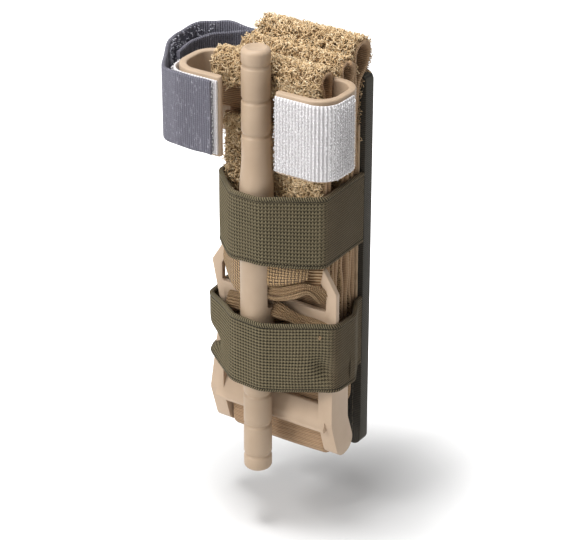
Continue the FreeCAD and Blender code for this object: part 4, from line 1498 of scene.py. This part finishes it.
@dataclass
class ElasticBands:
    """The two knitted elastics that hold the folded band to the panel."""

    width: float = 25.0
    thick: float = 1.3
    rib: float = 1.05
    nose: float = -37.6
    edge: float = 1.35
    upper_middle: float = 21.4
    upper_reach: float = 23.5
    lower_middle: float = -23.2
    lower_reach: float = 26.5
    notch_depth: float = 6.6
    crease_depth: float = 1.7

    def relief(self, middle: float, reach: float) -> Callable:
        """Height of the ribs, which fade where the elastic lies slack.

        Args:
            middle: distance along the elastic to its front's middle, in metres.
            reach: half the length of the stretched front, in metres.

        Returns:
            The height at a place on the elastic.
        """
        def height(along: Array, across: Array, side: Array) -> Array:
            """Ribs inside rolled edges.

            Args:
                along: distance along the elastic.
                across: distance across it.
                side: which face it is on.

            Returns:
                The height, in metres.
            """
            rim = (self.width / 2 - self.edge) * MM
            pull = step_up(-np.abs(along - middle), -reach, 0.0012)
            edge = step_up(np.abs(across), rim, 0.00012)
            ribs = np.cos(along * (2 * math.pi / (self.rib * MM)) + math.pi) * 0.00012 * pull
            groove = hill(np.abs(across), rim - 0.0001, 0.0002)
            return np.where(np.abs(side) > 0.5, ribs * (1 - edge) + edge * 0.00018 - groove * 0.0002, 0.0)
        return height

    def marks(self, middle: float, reach: float) -> dict[str, Callable]:
        """Where the knit is pulled open: 1 over the front, less down the sides.

        Args:
            middle: distance along the elastic to its front's middle, in metres.
            reach: half the length of the stretched front, in metres.

        Returns:
            The mark's name and its value.
        """
        return {"pull": lambda u, v, s: step_up(-np.abs(u - middle), -reach, 0.0014)}

    def build_upper(self) -> bpy.types.Object:
        """Makes the upper band, smooth round the rod.

        Returns:
            The band.
        """
        points = [(-19.8, -4.15), (-19.8, -10.1), (-19.8, -26.5), (-8.0, self.nose), (2.8, self.nose),
                  (19.8, -26.5), (19.8, -10.1), (19.8, -4.15)]
        course = Course.upright(points, [1, 3, 7, 7, 3, 1], self.upper_middle, 0.17 * MM, 10)
        middle = course.length[-1] / 2

        def warp(places: Array, along: Array, across: Array) -> Array:
            """Pulls the edges in over the rod and lets the sides bow.

            Args:
                places: the strip's points, in metres.
                along: their distance along it.
                across: their distance across it.

            Returns:
                The moved points.
            """
            out = places.copy()
            from_middle = along - middle
            v = across / (self.width / 2 * MM)
            out[:, 2] -= 0.0007 * hill(from_middle, 0.0, 0.009) * v
            out[:, 2] += 0.0003 * np.sin(along * 160 + 0.5)
            bow = np.cos(v * math.pi / 2)
            side = hill(np.abs(from_middle), 0.034, 0.008)
            out[:, 0] += np.sign(places[:, 0]) * 0.0006 * side * bow
            return out

        return course.strip("upper_elastic_knit", Section(self.width * MM, self.thick * MM, 44, 10, 5),
                            self.relief(middle, self.upper_reach * MM), warp,
                            self.marks(middle, self.upper_reach * MM))

    def build_lower(self) -> bpy.types.Object:
        """Makes the lower band, pinched in on the left and creased on the right.

        Returns:
            The band.
        """
        points = [(-19.8, -4.15), (-19.8, -6.5), (-25.6, -15.0), (-25.3, -24.9), (-8.0, self.nose),
                  (2.8, self.nose), (24.4, -25.7), (24.4, -15.0), (19.8, -6.5), (19.8, -4.15)]
        course = Course.upright(points, [1, 3, 4, 7, 7, 4, 3, 1], self.lower_middle, 0.17 * MM, 10)
        middle = course.length[-1] / 2

        def warp(places: Array, along: Array, across: Array) -> Array:
            """Folds the left side inwards at two thirds and creases the right corner.

            Args:
                places: the strip's points, in metres.
                along: their distance along it.
                across: their distance across it.

            Returns:
                The moved points.
            """
            out = places.copy()
            v = across / (self.width / 2 * MM)
            x, y = places[:, 0], places[:, 1]
            left = hill(y, -0.022, 0.0075) * step_up(-x, 0.0165, 0.0025)
            pinch = hill(v, -0.38, 0.28)
            out[:, 0] += left * (self.notch_depth * MM * pinch - 0.0004)
            out[:, 1] += left * 0.0016 * pinch
            out[:, 2] += left * (0.0016 * np.tanh(-(v + 0.42) * 2.2) - 0.0004)
            front = y < -0.018
            crease = hill(x, 0.0205 - 0.0035 * v, 0.0026) * hill(v, -0.35, 0.35) * front
            out[:, 0] -= crease * (self.crease_depth * MM - 0.0001)
            out[:, 1] += crease * (self.crease_depth * MM + 0.0001)
            swell = hill(x, 0.0145, 0.004) * hill(v, -0.4, 0.4) * front
            out[:, 1] -= swell * 0.0008
            out[:, 2] += 0.0003 * np.sin(along * 190)
            return out

        return course.strip("lower_elastic_knit", Section(self.width * MM, self.thick * MM, 44, 10, 5),
                            self.relief(middle, self.lower_reach * MM), warp,
                            self.marks(middle, self.lower_reach * MM))

    def build(self) -> None:
        """Makes and dresses both bands."""
        upper, lower = self.build_upper(), self.build_lower()
        KnitElastic().dress(upper)
        KnitElastic("olive_mesh_elastic", chevron=0.0, stitch=1.12 * MM).dress(lower)
        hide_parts("upper_elastic_band")
        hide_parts("lower_elastic_band")
        Body.HOLDER.carry("elastic", upper, lower)


@dataclass
class OuterBand:
    """The long band, folded to and fro: flat weave inside, loop pile outside."""

    half_width: float = 19.0
    thick: float = 1.7
    density: float = 3.7e6
    most: int = 6000
    yarn: float = 0.23
    bare_edge: float = 0.7
    rear_shift: float = 1.2
    flare: float = 2.3

    def route(self) -> tuple[list[Point], list[float]]:
        """The folds seen from the side, in mm, with the radius of each corner.

        Returns:
            The corners and their radii.
        """
        corners = [((-25.9, 63.8), 0), ((-25.4, 67.6), 6), ((-27.0, 73.4), 3.4), ((-20.2, 73.4), 2.8),
                   ((-21.5, 58.0), 9), ((-21.5, -23.3), 1.3), ((-18.99, -23.3), 1.25),
                   ((-18.99, 9.5), 1.25), ((-16.48, 9.5), 1.25), ((-16.48, -24.3), 1.25),
                   ((-13.98, -24.3), 1.25), ((-13.98, 58.0), 9),
                   ((-15.8, 74.0), 2.6), ((-10.2, 74.0), 2.6), ((-11.47, 60.0), 9), ((-11.47, -46.5), 1.25),
                   ((-8.96, -46.5), 1.25), ((-8.7, 60.0), 9), ((-9.4, 78.2), 3.6), ((-0.8, 78.2), 3.6),
                   ((-2.0, 69.4), 6), ((-6.0, 66.0), 5), ((-6.45, -42.5), 0)]
        return [point for point, _ in corners], [radius for _, radius in corners[1:-1]]

    def lean(self, places: Array, across: Array) -> Array:
        """Shifts the rear loop to the right and flares the front fold's left end.

        Args:
            places: points of the band, in metres.
            across: their distance across it.

        Returns:
            The moved points.
        """
        out = places.copy()
        height = np.clip((places[:, 2] - 0.054) / 0.018, 0, 1)
        out[:, 0] += self.rear_shift * MM * height * (places[:, 1] > -0.0125)
        front_fold = (places[:, 1] < -0.0185) * (places[:, 2] > 0.055)
        end = np.clip((-across - 0.008) / 0.011, 0, 1) ** 1.5 * front_fold
        out[:, 0] -= self.flare * MM * end
        out[:, 1] -= self.flare * MM * end
        return out

    def weave(self, name: str, course: Course) -> bpy.types.Object:
        """Weaves one length of band, with plain weave on one side and ground on the other.

        Args:
            name: the piece's name.
            course: its line.

        Returns:
            The length of band.
        """
        def warp(places: Array, along: Array, across: Array) -> Array:
            """Lets the layers wander, most at their edges.

            Args:
                places: the strip's points, in metres.
                along: their distance along it.
                across: their distance across it.

            Returns:
                The moved points.
            """
            out = self.lean(places, across)
            edge = np.abs(across) / (self.half_width * MM)
            layer = along * 37.0
            height = places[:, 2]
            ripple = 0.00035 * np.sin(height * 170 + layer) + 0.00022 * np.sin(height * 410 + layer * 2)
            out[:, 1] += ripple * (0.35 + edge * 0.65)
            out[:, 0] += np.sign(across) * edge * 0.0004 * np.sin(height * 120 + layer * 3)
            return out

        piece = course.strip(name, Section(self.half_width * 2 * MM, self.thick * MM, 18, 14, 4), warp=warp)
        FlatWeave().dress(piece)
        piece.data.materials.append(PileGround().material())
        side = np.zeros(len(piece.data.vertices), np.float32)
        piece.data.attributes["side"].data.foreach_get("value", side)
        for face in piece.data.polygons:
            if min(side[index] for index in face.vertices) > 0.5:
                face.material_index = 1
        Body.PACK.carry("webbing", piece)
        return piece

    def pile_spans(self, course: Course) -> dict[str, tuple[float, float]]:
        """Lengths along the band where its pile shows: front, middle and rear folds.

        Args:
            course: the band's line.

        Returns:
            Where each fold's pile starts and ends, in metres.
        """
        height = course.middle[:, 2]
        spans, start = {"front_fold_pile": (0.0, 0.0305)}, 0.05
        for name, low in (("middle_fold_pile", 0.048), ("rear_fold_pile", 0.044)):
            above = (height > low) & (course.length >= start)
            first = int(np.argmax(above))
            after = np.nonzero(~above[first:])[0]
            last = first + (int(after[0]) if len(after) else len(above) - first) - 1
            spans[name] = (float(course.length[first]), float(course.length[last]))
            start = spans[name][1] + 0.02
        return spans

    def build_pile(self, name: str, course: Course, span: tuple[float, float],
                   chance: np.random.Generator) -> None:
        """Covers one length of the band with yarn loops.

        Args:
            name: start of each piece's name.
            course: the band's line.
            span: where the loops start and end along it, in metres.
            chance: the seeded source of variation.
        """
        bow = [(-0.45, -0.25), (-0.8, 0.6), (-0.25, 1.35), (0.5, 1.2), (0.75, 0.5), (0.35, -0.25)]
        loop = Tuft(bow, self.yarn, 5)
        lift, half = self.thick / 2 * MM, (self.half_width - self.bare_edge) * MM
        count = int((span[1] - span[0]) * self.half_width * 2 * MM * self.density)
        parts = -(-count // self.most)
        for part in range(parts):
            spots = chance.random((count // parts, 2))
            at, along, across, away = course.surface(lift, half, spots, span)
            at = self.lean(at, at[:, 0])
            pile = loop.scatter(f"{name}_{part + 1}", at, along, across, away, chance, 3.14, 0.35, 0.4)
            LoopYarn().dress(pile)
            Body.PACK.carry("loop_band", pile)

    def build(self, chance: np.random.Generator) -> None:
        """Makes and dresses the folded band, its pile and its hook tape.

        Args:
            chance: the seeded source of variation.
        """
        course = Course.level(*self.route(), 0.3 * MM, 4)
        front = Course.level([(-24.3, 13.5), (-24.1, 30.0), (-24.6, 53.6)], [60.0], 0.3 * MM, 4)
        folds = self.weave("outer_band_webbing", course)
        self.weave("outer_band_front_layer", front)
        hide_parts("outer_band")
        for name, span in self.pile_spans(course).items():
            self.build_pile(name, course, span, chance)
        self.build_pile("front_layer_pile", front, (0.0, front.length[-1]), chance)
        tape = Bench.moulding("band_hook_tape", "band_hook_tape_woven", 0.0003, 2)
        FlatWeave("tan_hook_tape", (0.5, 0.36, 0.23), (0.22, 0.14, 0.08)).dress(tape)
        Body.PACK.carry("band_hook", tape)


@dataclass
class RoutingHardware:
    """The flat base plate under the rod and the buckle below it."""

    strap_thick: float = 1.5
    loop: tuple[Point, ...] = ((-20.6, -34.5), (-19.6, -64.6), (-12.2, -64.6), (-12.2, -52.0))

    def build_buckle_strap(self) -> bpy.types.Object:
        """The fixed end of the band, turned round the buckle's bar.

        Returns:
            The strap.
        """
        low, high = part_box("buckle_band_loop")
        course = Course.level(self.loop, [4.2, 3.9], 0.25 * MM, 3, flip=True)
        course.moved(middle_of("buckle_band_loop"))
        rib = 2 * math.pi / (0.95 * MM)

        def warp(places: Array, along: Array, across: Array) -> Array:
            """Bows the strap slightly over its width.

            Args:
                places: the strip's points, in metres.
                along: their distance along it.
                across: their distance across it.

            Returns:
                The moved points.
            """
            out = places.copy()
            out[:, 2] -= 0.0005 * np.cos(across / float(high.x - low.x) * math.pi)
            return out

        section = Section(float(high.x - low.x), self.strap_thick * MM, 30, 8, 4)
        return course.strip("buckle_strap_weave", section,
                            relief=lambda u, v, s: 0.00007 * np.sin(u * rib) * (np.abs(s) > 0.5), warp=warp)

    @staticmethod
    def nip(piece: bpy.types.Object, edge: float, low: float, high: float, depth: float) -> None:
        """Draws a piece's left edge in where the elastic folds over it.

        Args:
            piece: the plate or the buckle.
            edge: what lies left of this place moves, in mm.
            low: lower end of the fold, in mm.
            high: upper end of the fold, in mm.
            depth: how far the edge moves, in mm.
        """
        places = Bench.points(piece)
        inside = (places[:, 0] < edge * MM) & (places[:, 2] > low * MM) & (places[:, 2] < high * MM)
        places[:, 0] += inside * depth * MM
        Bench.move_points(piece, places)

    def build(self) -> None:
        """Makes and dresses the plate, the buckle and its strap."""
        plate = Bench.moulding("base_plate", "base_plate_moulding", 0.0004, 3)
        buckle = Bench.moulding("buckle_frame", "buckle_moulding", 0.0008, 4, 30.0)
        self.nip(plate, -20.0, -23.0, -13.0, 4.0)
        self.nip(buckle, -21.5, -34.0, -20.0, 3.0)
        MouldedPlastic("pale_tan_plastic", (0.56, 0.42, 0.3), (0.49, 0.36, 0.25)).dress(plate, buckle)
        strap = self.build_buckle_strap()
        FlatWeave().dress(strap)
        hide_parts("buckle_band_loop")
        Body.PACK.carry("moulded_plastic", plate, buckle)
        Body.PACK.carry("webbing", strap)


@dataclass
class InnerBand:
    """The narrow ribbon that the rod winds up, gathered in the base plate's windows."""

    thick: float = 1.1

    def build_petal(self) -> bpy.types.Object:
        """The ribbon's left side, fanning out of the rod's slot.

        Returns:
            The fan.
        """
        lower = [(-1.0, -31.1, -7.0), (-5.2, -31.6, -7.2), (-9.8, -30.0, -5.4), (-14.2, -27.2, -3.0),
                 (-19.4, -22.9, 4.0), (-20.6, -22.0, 12.0)]
        upper = [(-1.0, -31.1, 17.0), (-5.2, -32.4, 17.6), (-8.5, -32.2, 18.3), (-10.5, -29.8, 19.0),
                 (-13.4, -25.2, 20.0), (-14.6, -22.2, 21.0)]
        course = Course.between(lower, upper, 0.2 * MM, flip=True).moved(middle_of("windlass_rod"))
        return course.strip("ribbon_petal", Section(0.023, self.thick * MM, 60, 10, 5))

    def build_roll(self) -> bpy.types.Object:
        """The ribbon's right side, rolled where it leaves the slot.

        Returns:
            The roll.
        """
        low = [(1.0, -31.1, -1.0), (6.0, -31.4, -0.2), (10.0, -31.2, 1.2), (14.0, -29.8, 2.6),
               (16.8, -27.4, 3.6)]
        high = [(1.0, -31.1, 12.0), (6.0, -30.9, 10.0), (10.0, -30.4, 9.6), (14.0, -29.0, 8.4),
                (16.8, -26.6, 8.2)]
        course = Course.between(low, high, 0.25 * MM).moved(middle_of("windlass_rod"))
        return course.strip("ribbon_roll", Section(0.0085, 0.0036, 12, 6, 10), girth=True)

    def build_flat(self) -> bpy.types.Object:
        """A flat length of ribbon that stands behind the roll.

        Returns:
            The length of ribbon.
        """
        left = [(16.6, -26.4, -1.6), (15.2, -26.9, 2.0), (14.0, -27.0, 6.0), (13.2, -26.4, 12.0)]
        right = [(19.8, -24.2, -2.4), (20.4, -24.6, 2.0), (21.4, -24.8, 7.0), (21.6, -24.4, 12.6)]
        course = Course.between(left, right, 0.16 * MM, flip=True).moved(middle_of("windlass_rod"))
        rib = 2 * math.pi / (1.05 * MM)
        return course.strip("ribbon_flat", Section(0.0085, 0.0011, 20, 8, 4),
                            relief=lambda u, v, s: 0.00014 * np.sin(u * rib) * (np.abs(s) > 0.5))

    def build_bundle(self, name: str, line: Sequence[Spot], faces: Sequence[Spot], width: float,
                     thick: float) -> bpy.types.Object:
        """A gathered length of ribbon whose cords run along it.

        Args:
            name: the piece's name.
            line: its middle line, in mm.
            faces: where its face looks at each point of the line.
            width: how wide it is, in metres.
            thick: how thick it is, in metres.

        Returns:
            The bundle.
        """
        course = Course.free(line, faces, 0.22 * MM).moved(middle_of("windlass_rod"))
        share = course.length / course.length[-1]
        course.spread = width * (1 - 0.38 * hill(share, 0.72, 0.13))
        cord = 2 * math.pi / (0.92 * MM)
        return course.strip(name, Section(width, thick, 26, 14, 14),
                            relief=lambda u, v, s: 0.00022 * np.cos(v * cord), girth=True)

    def build(self) -> None:
        """Makes and dresses every visible length of the ribbon."""
        petal, roll = self.build_petal(), self.build_roll()
        flat = self.build_flat()
        upper = self.build_bundle(
            "ribbon_upper_bundle",
            [(3.0, -30.9, -2.0), (7.5, -31.2, -2.4), (13.0, -30.8, -0.4), (17.5, -28.8, 1.4),
             (20.6, -26.6, -0.4), (21.4, -24.2, -3.0)],
            [(0.3, -1, 0.2), (0.3, -1, 0.5), (0.2, -1, 0.9), (0.3, -0.8, 1.0), (0.5, -0.8, 0.4),
             (0.5, -0.8, 0.0)], 0.0052, 0.0026)
        lower = self.build_bundle(
            "ribbon_lower_bundle",
            [(-14.0, -27.2, -12.2), (-4.0, -28.0, -11.0), (4.0, -29.4, -8.8), (9.0, -29.4, -9.6),
             (16.0, -28.2, -11.6), (23.0, -26.6, -14.0)],
            [(0, -1, 0.6), (0, -1, 0.6), (0, -1, 0.6), (0, -1, 0.7), (0, -1, 0.8), (0, -1, 0.8)],
            0.006, 0.0024)
        BasketWeave().dress(petal, roll)
        FlatWeave("golden_flat_weave", crest=(0.62, 0.43, 0.25), groove=(0.16, 0.085, 0.036),
                  rib=1.05 * MM, half_width=5.0 * MM).dress(flat)
        # The gap colour of this weave is painted shade between its cords.
        BasketWeave("golden_cord_weave", yarn=(0.56, 0.38, 0.21), gap=(0.12, 0.062, 0.026),
                    pitch=0.5 * MM).dress(upper, lower)
        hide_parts("inner_band_loop")
        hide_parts("inner_band_upper_run")
        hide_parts("inner_band_lower_run")
        Body.CARRIER.carry("ribbon", petal, roll, upper)
        Body.PACK.carry("ribbon", flat, lower)


@dataclass
class HolderPanel:
    """The stiffened panel behind it all, with its bound edge."""

    stitch: float = 2.1
    seam_inset: float = 3.1

    def build_stitches(self, name: str, line: Array, away: Spot,
                       chance: np.random.Generator) -> bpy.types.Object:
        """Sews along a closed or open line.

        Args:
            name: the piece's name.
            line: points of the line, in metres.
            away: direction away from the fabric.
            chance: the seeded source of variation.

        Returns:
            All the stitches as one piece.
        """
        path = Course.spaced(line, self.stitch * MM)
        at = (path[:-1] + path[1:]) / 2
        along = np.diff(path, axis=0)
        along /= np.linalg.norm(along, axis=1)[:, None]
        out = np.tile(np.array(away, float), (len(at), 1))
        thread = Tuft([(-0.85, -0.18), (-0.7, 0.12), (0.7, 0.12), (0.85, -0.18)], 0.34)
        return thread.scatter(name, at, along, np.cross(out, along), out, chance, 0.06, 0.05, 0.0)

    @staticmethod
    def frame_line(half_width: float, half_height: float, y: float) -> Array:
        """A closed rectangle on the panel, in metres.

        Args:
            half_width: half its width.
            half_height: half its height.
            y: where it lies along Y.

        Returns:
            Its corners, from the left edge's middle round to it.
        """
        corners = [(-half_width, y, 0.0), (-half_width, y, half_height), (half_width, y, half_height),
                   (half_width, y, -half_height), (-half_width, y, -half_height), (-half_width, y, -0.0001)]
        return np.array(corners)

    def build(self, chance: np.random.Generator) -> None:
        """Makes and dresses the panel's layers, its binding and its stitches.

        Args:
            chance: the seeded source of variation.
        """
        front = Bench.moulding("panel_front_fabric", "panel_front_canvas", 0.0002, 2)
        back = Bench.moulding("panel_back_fabric", "panel_back_canvas", 0.0002, 2)
        binding = Bench.moulding("panel_binding", "panel_binding_tape", 0.00022, 3)
        sheet = Bench.moulding("panel_stiffener", "panel_stiffener_sheet", 0.0003, 2)
        PanelCanvas().dress(front, back)
        BindingTape().dress(binding)
        StiffSheet().dress(sheet)
        low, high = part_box("panel_binding")
        width, height = (float(value) - self.seam_inset * MM for value in (high.x, high.z))
        front_line = self.frame_line(width, height, float(low.y))
        front_stitches = self.build_stitches("binding_stitches_front", front_line, (0, -1, 0), chance)
        back_line = self.frame_line(width, height, float(high.y))
        back_stitches = self.build_stitches("binding_stitches_back", back_line, (0, 1, 0), chance)
        Thread().dress(front_stitches, back_stitches)
        Body.HOLDER.carry("panel_fabric", front, back)
        Body.HOLDER.carry("stiffener", sheet)
        Body.HOLDER.carry("binding_tape", binding, front_stitches, back_stitches)


@dataclass
class BeltStrap:
    """The webbing that closes round a belt behind the panel, with its snap."""

    box_half: float = 10.3

    def crossed_box(self, low: float, high: float, y: float) -> Array:
        """A stitched box with its two diagonals, as one line, in metres.

        Args:
            low: the box's lower edge.
            high: its upper edge.
            y: where it lies along Y.

        Returns:
            The line's corners.
        """
        half = self.box_half * MM
        corners = [(-half, low), (half, low), (half, high), (-half, high), (-half, low), (half, high),
                   (half, low), (-half, high)]
        return np.array([(x, y, z) for x, z in corners])

    def build(self, chance: np.random.Generator) -> None:
        """Makes and dresses the strap, its sewn root and the snap.

        Args:
            chance: the seeded source of variation.
        """
        root = Bench.moulding("belt_strap_root", "belt_strap_root_webbing", 0.0005, 3)
        strap = Bench.moulding("belt_strap", "belt_strap_webbing", 0.0005, 3)
        stud = Bench.moulding("snap_stud", "snap_stud_pressed", 0.0002, 3)
        eyelet = Bench.moulding("snap_eyelet", "snap_eyelet_pressed", 0.00015, 3)
        socket = Bench.moulding("snap_socket", "snap_socket_pressed", 0.0002, 3)
        cap = Bench.moulding("snap_cap", "snap_cap_pressed", 0.00035, 4, 20.0)
        BeltWebbing().dress(root, strap)
        SnapEnamel().dress(stud, eyelet, socket, cap)
        low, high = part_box("belt_strap_root")
        line = self.crossed_box(float(low.z) + 0.004, float(high.z) - 0.002, float(high.y))
        stitches = HolderPanel().build_stitches("belt_strap_stitches", line, (0, 1, 0), chance)
        Thread().dress(stitches)
        Body.HOLDER.carry("webbing", root)
        Body.HOLDER.carry("binding_tape", stitches)
        Body.HOLDER.carry("snap_metal", stud, eyelet)
        Body.BELT_FLAP.carry("webbing", strap)
        Body.BELT_FLAP.carry("snap_metal", socket, cap)


# ------------------------------------------------------------------------ studio
@dataclass(frozen=True)
class Lamp:
    """A soft square lamp that looks at the object, in degrees, metres and watts."""

    name: str
    azimuth: float
    elevation: float
    distance: float
    size: float
    power: float

    def hang(self) -> None:
        """Adds the lamp at its place."""
        lamp = bpy.data.lights.new(self.name, "AREA")
        lamp.shape = "SQUARE"
        lamp.size = self.size
        lamp.energy = self.power
        made = bpy.data.objects.new(self.name, lamp)
        bpy.context.scene.collection.objects.link(made)
        turn, rise = math.radians(self.azimuth), math.radians(self.elevation)
        away = Vector((math.sin(turn) * math.cos(rise), -math.cos(turn) * math.cos(rise), math.sin(rise)))
        made.location = away * self.distance
        made.rotation_euler = away.to_track_quat("Z", "Y").to_euler()


@dataclass
class Studio:
    """Camera, floor and soft light."""

    azimuth: float = 34.0
    elevation: float = 27.0
    distance: float = 0.737
    lens: float = 146.8
    right_shift: float = 8.01
    up_shift: float = -1.41
    floor_level: float = -0.092
    # Round spot where the floor keeps the object's shadow; outside it a painted glow washes shadows out.
    shadow_middle: Point = (0.0013, -0.008)
    shadow_fade: Point = (0.03, 0.11)
    shadow_glow: float = 0.08
    lamps: tuple[Lamp, ...] = (Lamp("key_lamp", -24.0, 34.0, 1.1, 0.5, 8.8),
                               Lamp("fill_lamp", 84.0, 16.0, 1.2, 0.8, 1.1),
                               Lamp("top_lamp", -24.0, 80.0, 1.0, 0.3, 8.8))

    def axes(self) -> tuple[Vector, Vector, Vector]:
        """The view's right, up and forward directions.

        Returns:
            The three directions.
        """
        turn, rise = math.radians(self.azimuth), math.radians(self.elevation)
        right = Vector((math.cos(turn), math.sin(turn), 0.0))
        up = Vector((-math.sin(turn) * math.sin(rise), math.cos(turn) * math.sin(rise), math.cos(rise)))
        return right, up, up.cross(right)

    def place_camera(self) -> None:
        """Sets the camera up around the rod's middle."""
        right, up, forward = self.axes()
        low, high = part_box("windlass_rod")
        aim = (low + high) / 2 + right * (self.right_shift * MM) + up * (self.up_shift * MM)
        lens = bpy.data.cameras.new("studio_camera")
        lens.lens = self.lens
        lens.sensor_width = 36.0
        lens.clip_start = 0.01
        camera = bpy.data.objects.new("studio_camera", lens)
        bpy.context.scene.collection.objects.link(camera)
        turn = Matrix((right, up, -forward)).transposed()
        camera.matrix_world = Matrix.Translation(aim - forward * self.distance) @ turn.to_4x4()
        bpy.context.scene.camera = camera

    def white_to_eye(self, graph: Graph) -> Wire:
        """How far a ray comes from the eye, a mirror or glass: 1 if it does.

        Args:
            graph: the tree to add to.

        Returns:
            The share.
        """
        rays = [graph.node("ShaderNodeLightPath", None, None, name)
                for name in ("Is Camera Ray", "Is Glossy Ray", "Is Transmission Ray")]
        return rays[0].math("MAXIMUM", rays[1]).math("MAXIMUM", rays[2])

    def lay_floor(self) -> None:
        """Lays a pale floor: a painted glow, seen only by the eye, washes out shadows outside a spot under
        the object.
        """
        bpy.ops.object.select_all(action="DESELECT")
        bpy.ops.mesh.primitive_plane_add(size=6.0, location=(0.0, 0.0, self.floor_level))
        floor = bpy.context.active_object
        floor.name = "studio_floor"
        graph = Coat("pale_floor")
        graph.set(base_color=(0.8, 0.8, 0.8), roughness=1.0, ior_level=0.0)
        x, y, _ = graph.axes()
        off_x, off_y = x - self.shadow_middle[0], y - self.shadow_middle[1]
        away = (off_x * off_x + off_y * off_y).math("SQRT")
        # Painted light: the glow rises from shadow_glow at the spot's middle to full strength beyond
        # shadow_fade, covering the lamps' shadows there.
        bright = away.ease(*self.shadow_fade) * (1 - self.shadow_glow) + self.shadow_glow
        seen = self.white_to_eye(graph) * bright
        glow = graph.node("ShaderNodeEmission", None, {"Color": (1.0, 1.0, 1.0), "Strength": 0.8})
        dark = graph.node("ShaderNodeEmission", None, {"Color": (0.0, 0.0, 0.0), "Strength": 0.0})
        extra = graph.node("ShaderNodeMixShader", None, {0: seen, 1: dark, 2: glow})
        both = graph.node("ShaderNodeAddShader", None, {0: graph.shader, 1: extra})
        graph.feed(graph.output.inputs["Surface"], both)
        floor.data.materials.append(graph.material)

    def light_world(self) -> None:
        """Lights all round softly and shows white behind the object."""
        world = bpy.data.worlds.new("studio_world")
        bpy.context.scene.world = world
        world.use_nodes = True
        graph = Graph(world.node_tree)
        soft = graph.node("ShaderNodeBackground", None, {"Color": (1.0, 0.985, 0.97), "Strength": 0.17})
        white = graph.node("ShaderNodeBackground", None, {"Color": (1.0, 1.0, 1.0), "Strength": 1.0})
        graph.end("ShaderNodeOutputWorld",
                  graph.node("ShaderNodeMixShader", None, {0: self.white_to_eye(graph), 1: soft, 2: white}))

    def build(self) -> None:
        """Sets up the whole studio."""
        bpy.context.scene.view_settings.view_transform = "Standard"
        self.place_camera()
        self.lay_floor()
        self.light_world()
        for lamp in self.lamps:
            lamp.hang()


def middle_of(node: str) -> float:
    """Where a frame node's middle lies along X, in metres.

    Args:
        node: the node's name.

    Returns:
        The place.
    """
    low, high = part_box(node)
    return float(low.x + high.x) / 2


def corners(box: tuple[Vector, Vector]) -> list[list[float]]:
    """A box's two corners as plain lists."""
    return [[float(value) for value in corner] for corner in box]


def main() -> None:
    """Builds the studio and every sub-assembly."""
    logging.basicConfig(level=logging.INFO, format="%(name)s: %(message)s")
    chance = np.random.default_rng(7)
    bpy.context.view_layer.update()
    Studio().build()
    Windlass().build()
    ClipAssembly().build(chance)
    ElasticBands().build()
    OuterBand().build(chance)
    RoutingHardware().build()
    InnerBand().build()
    HolderPanel().build(chance)
    BeltStrap().build(chance)


if __name__ == "__main__":
    main()
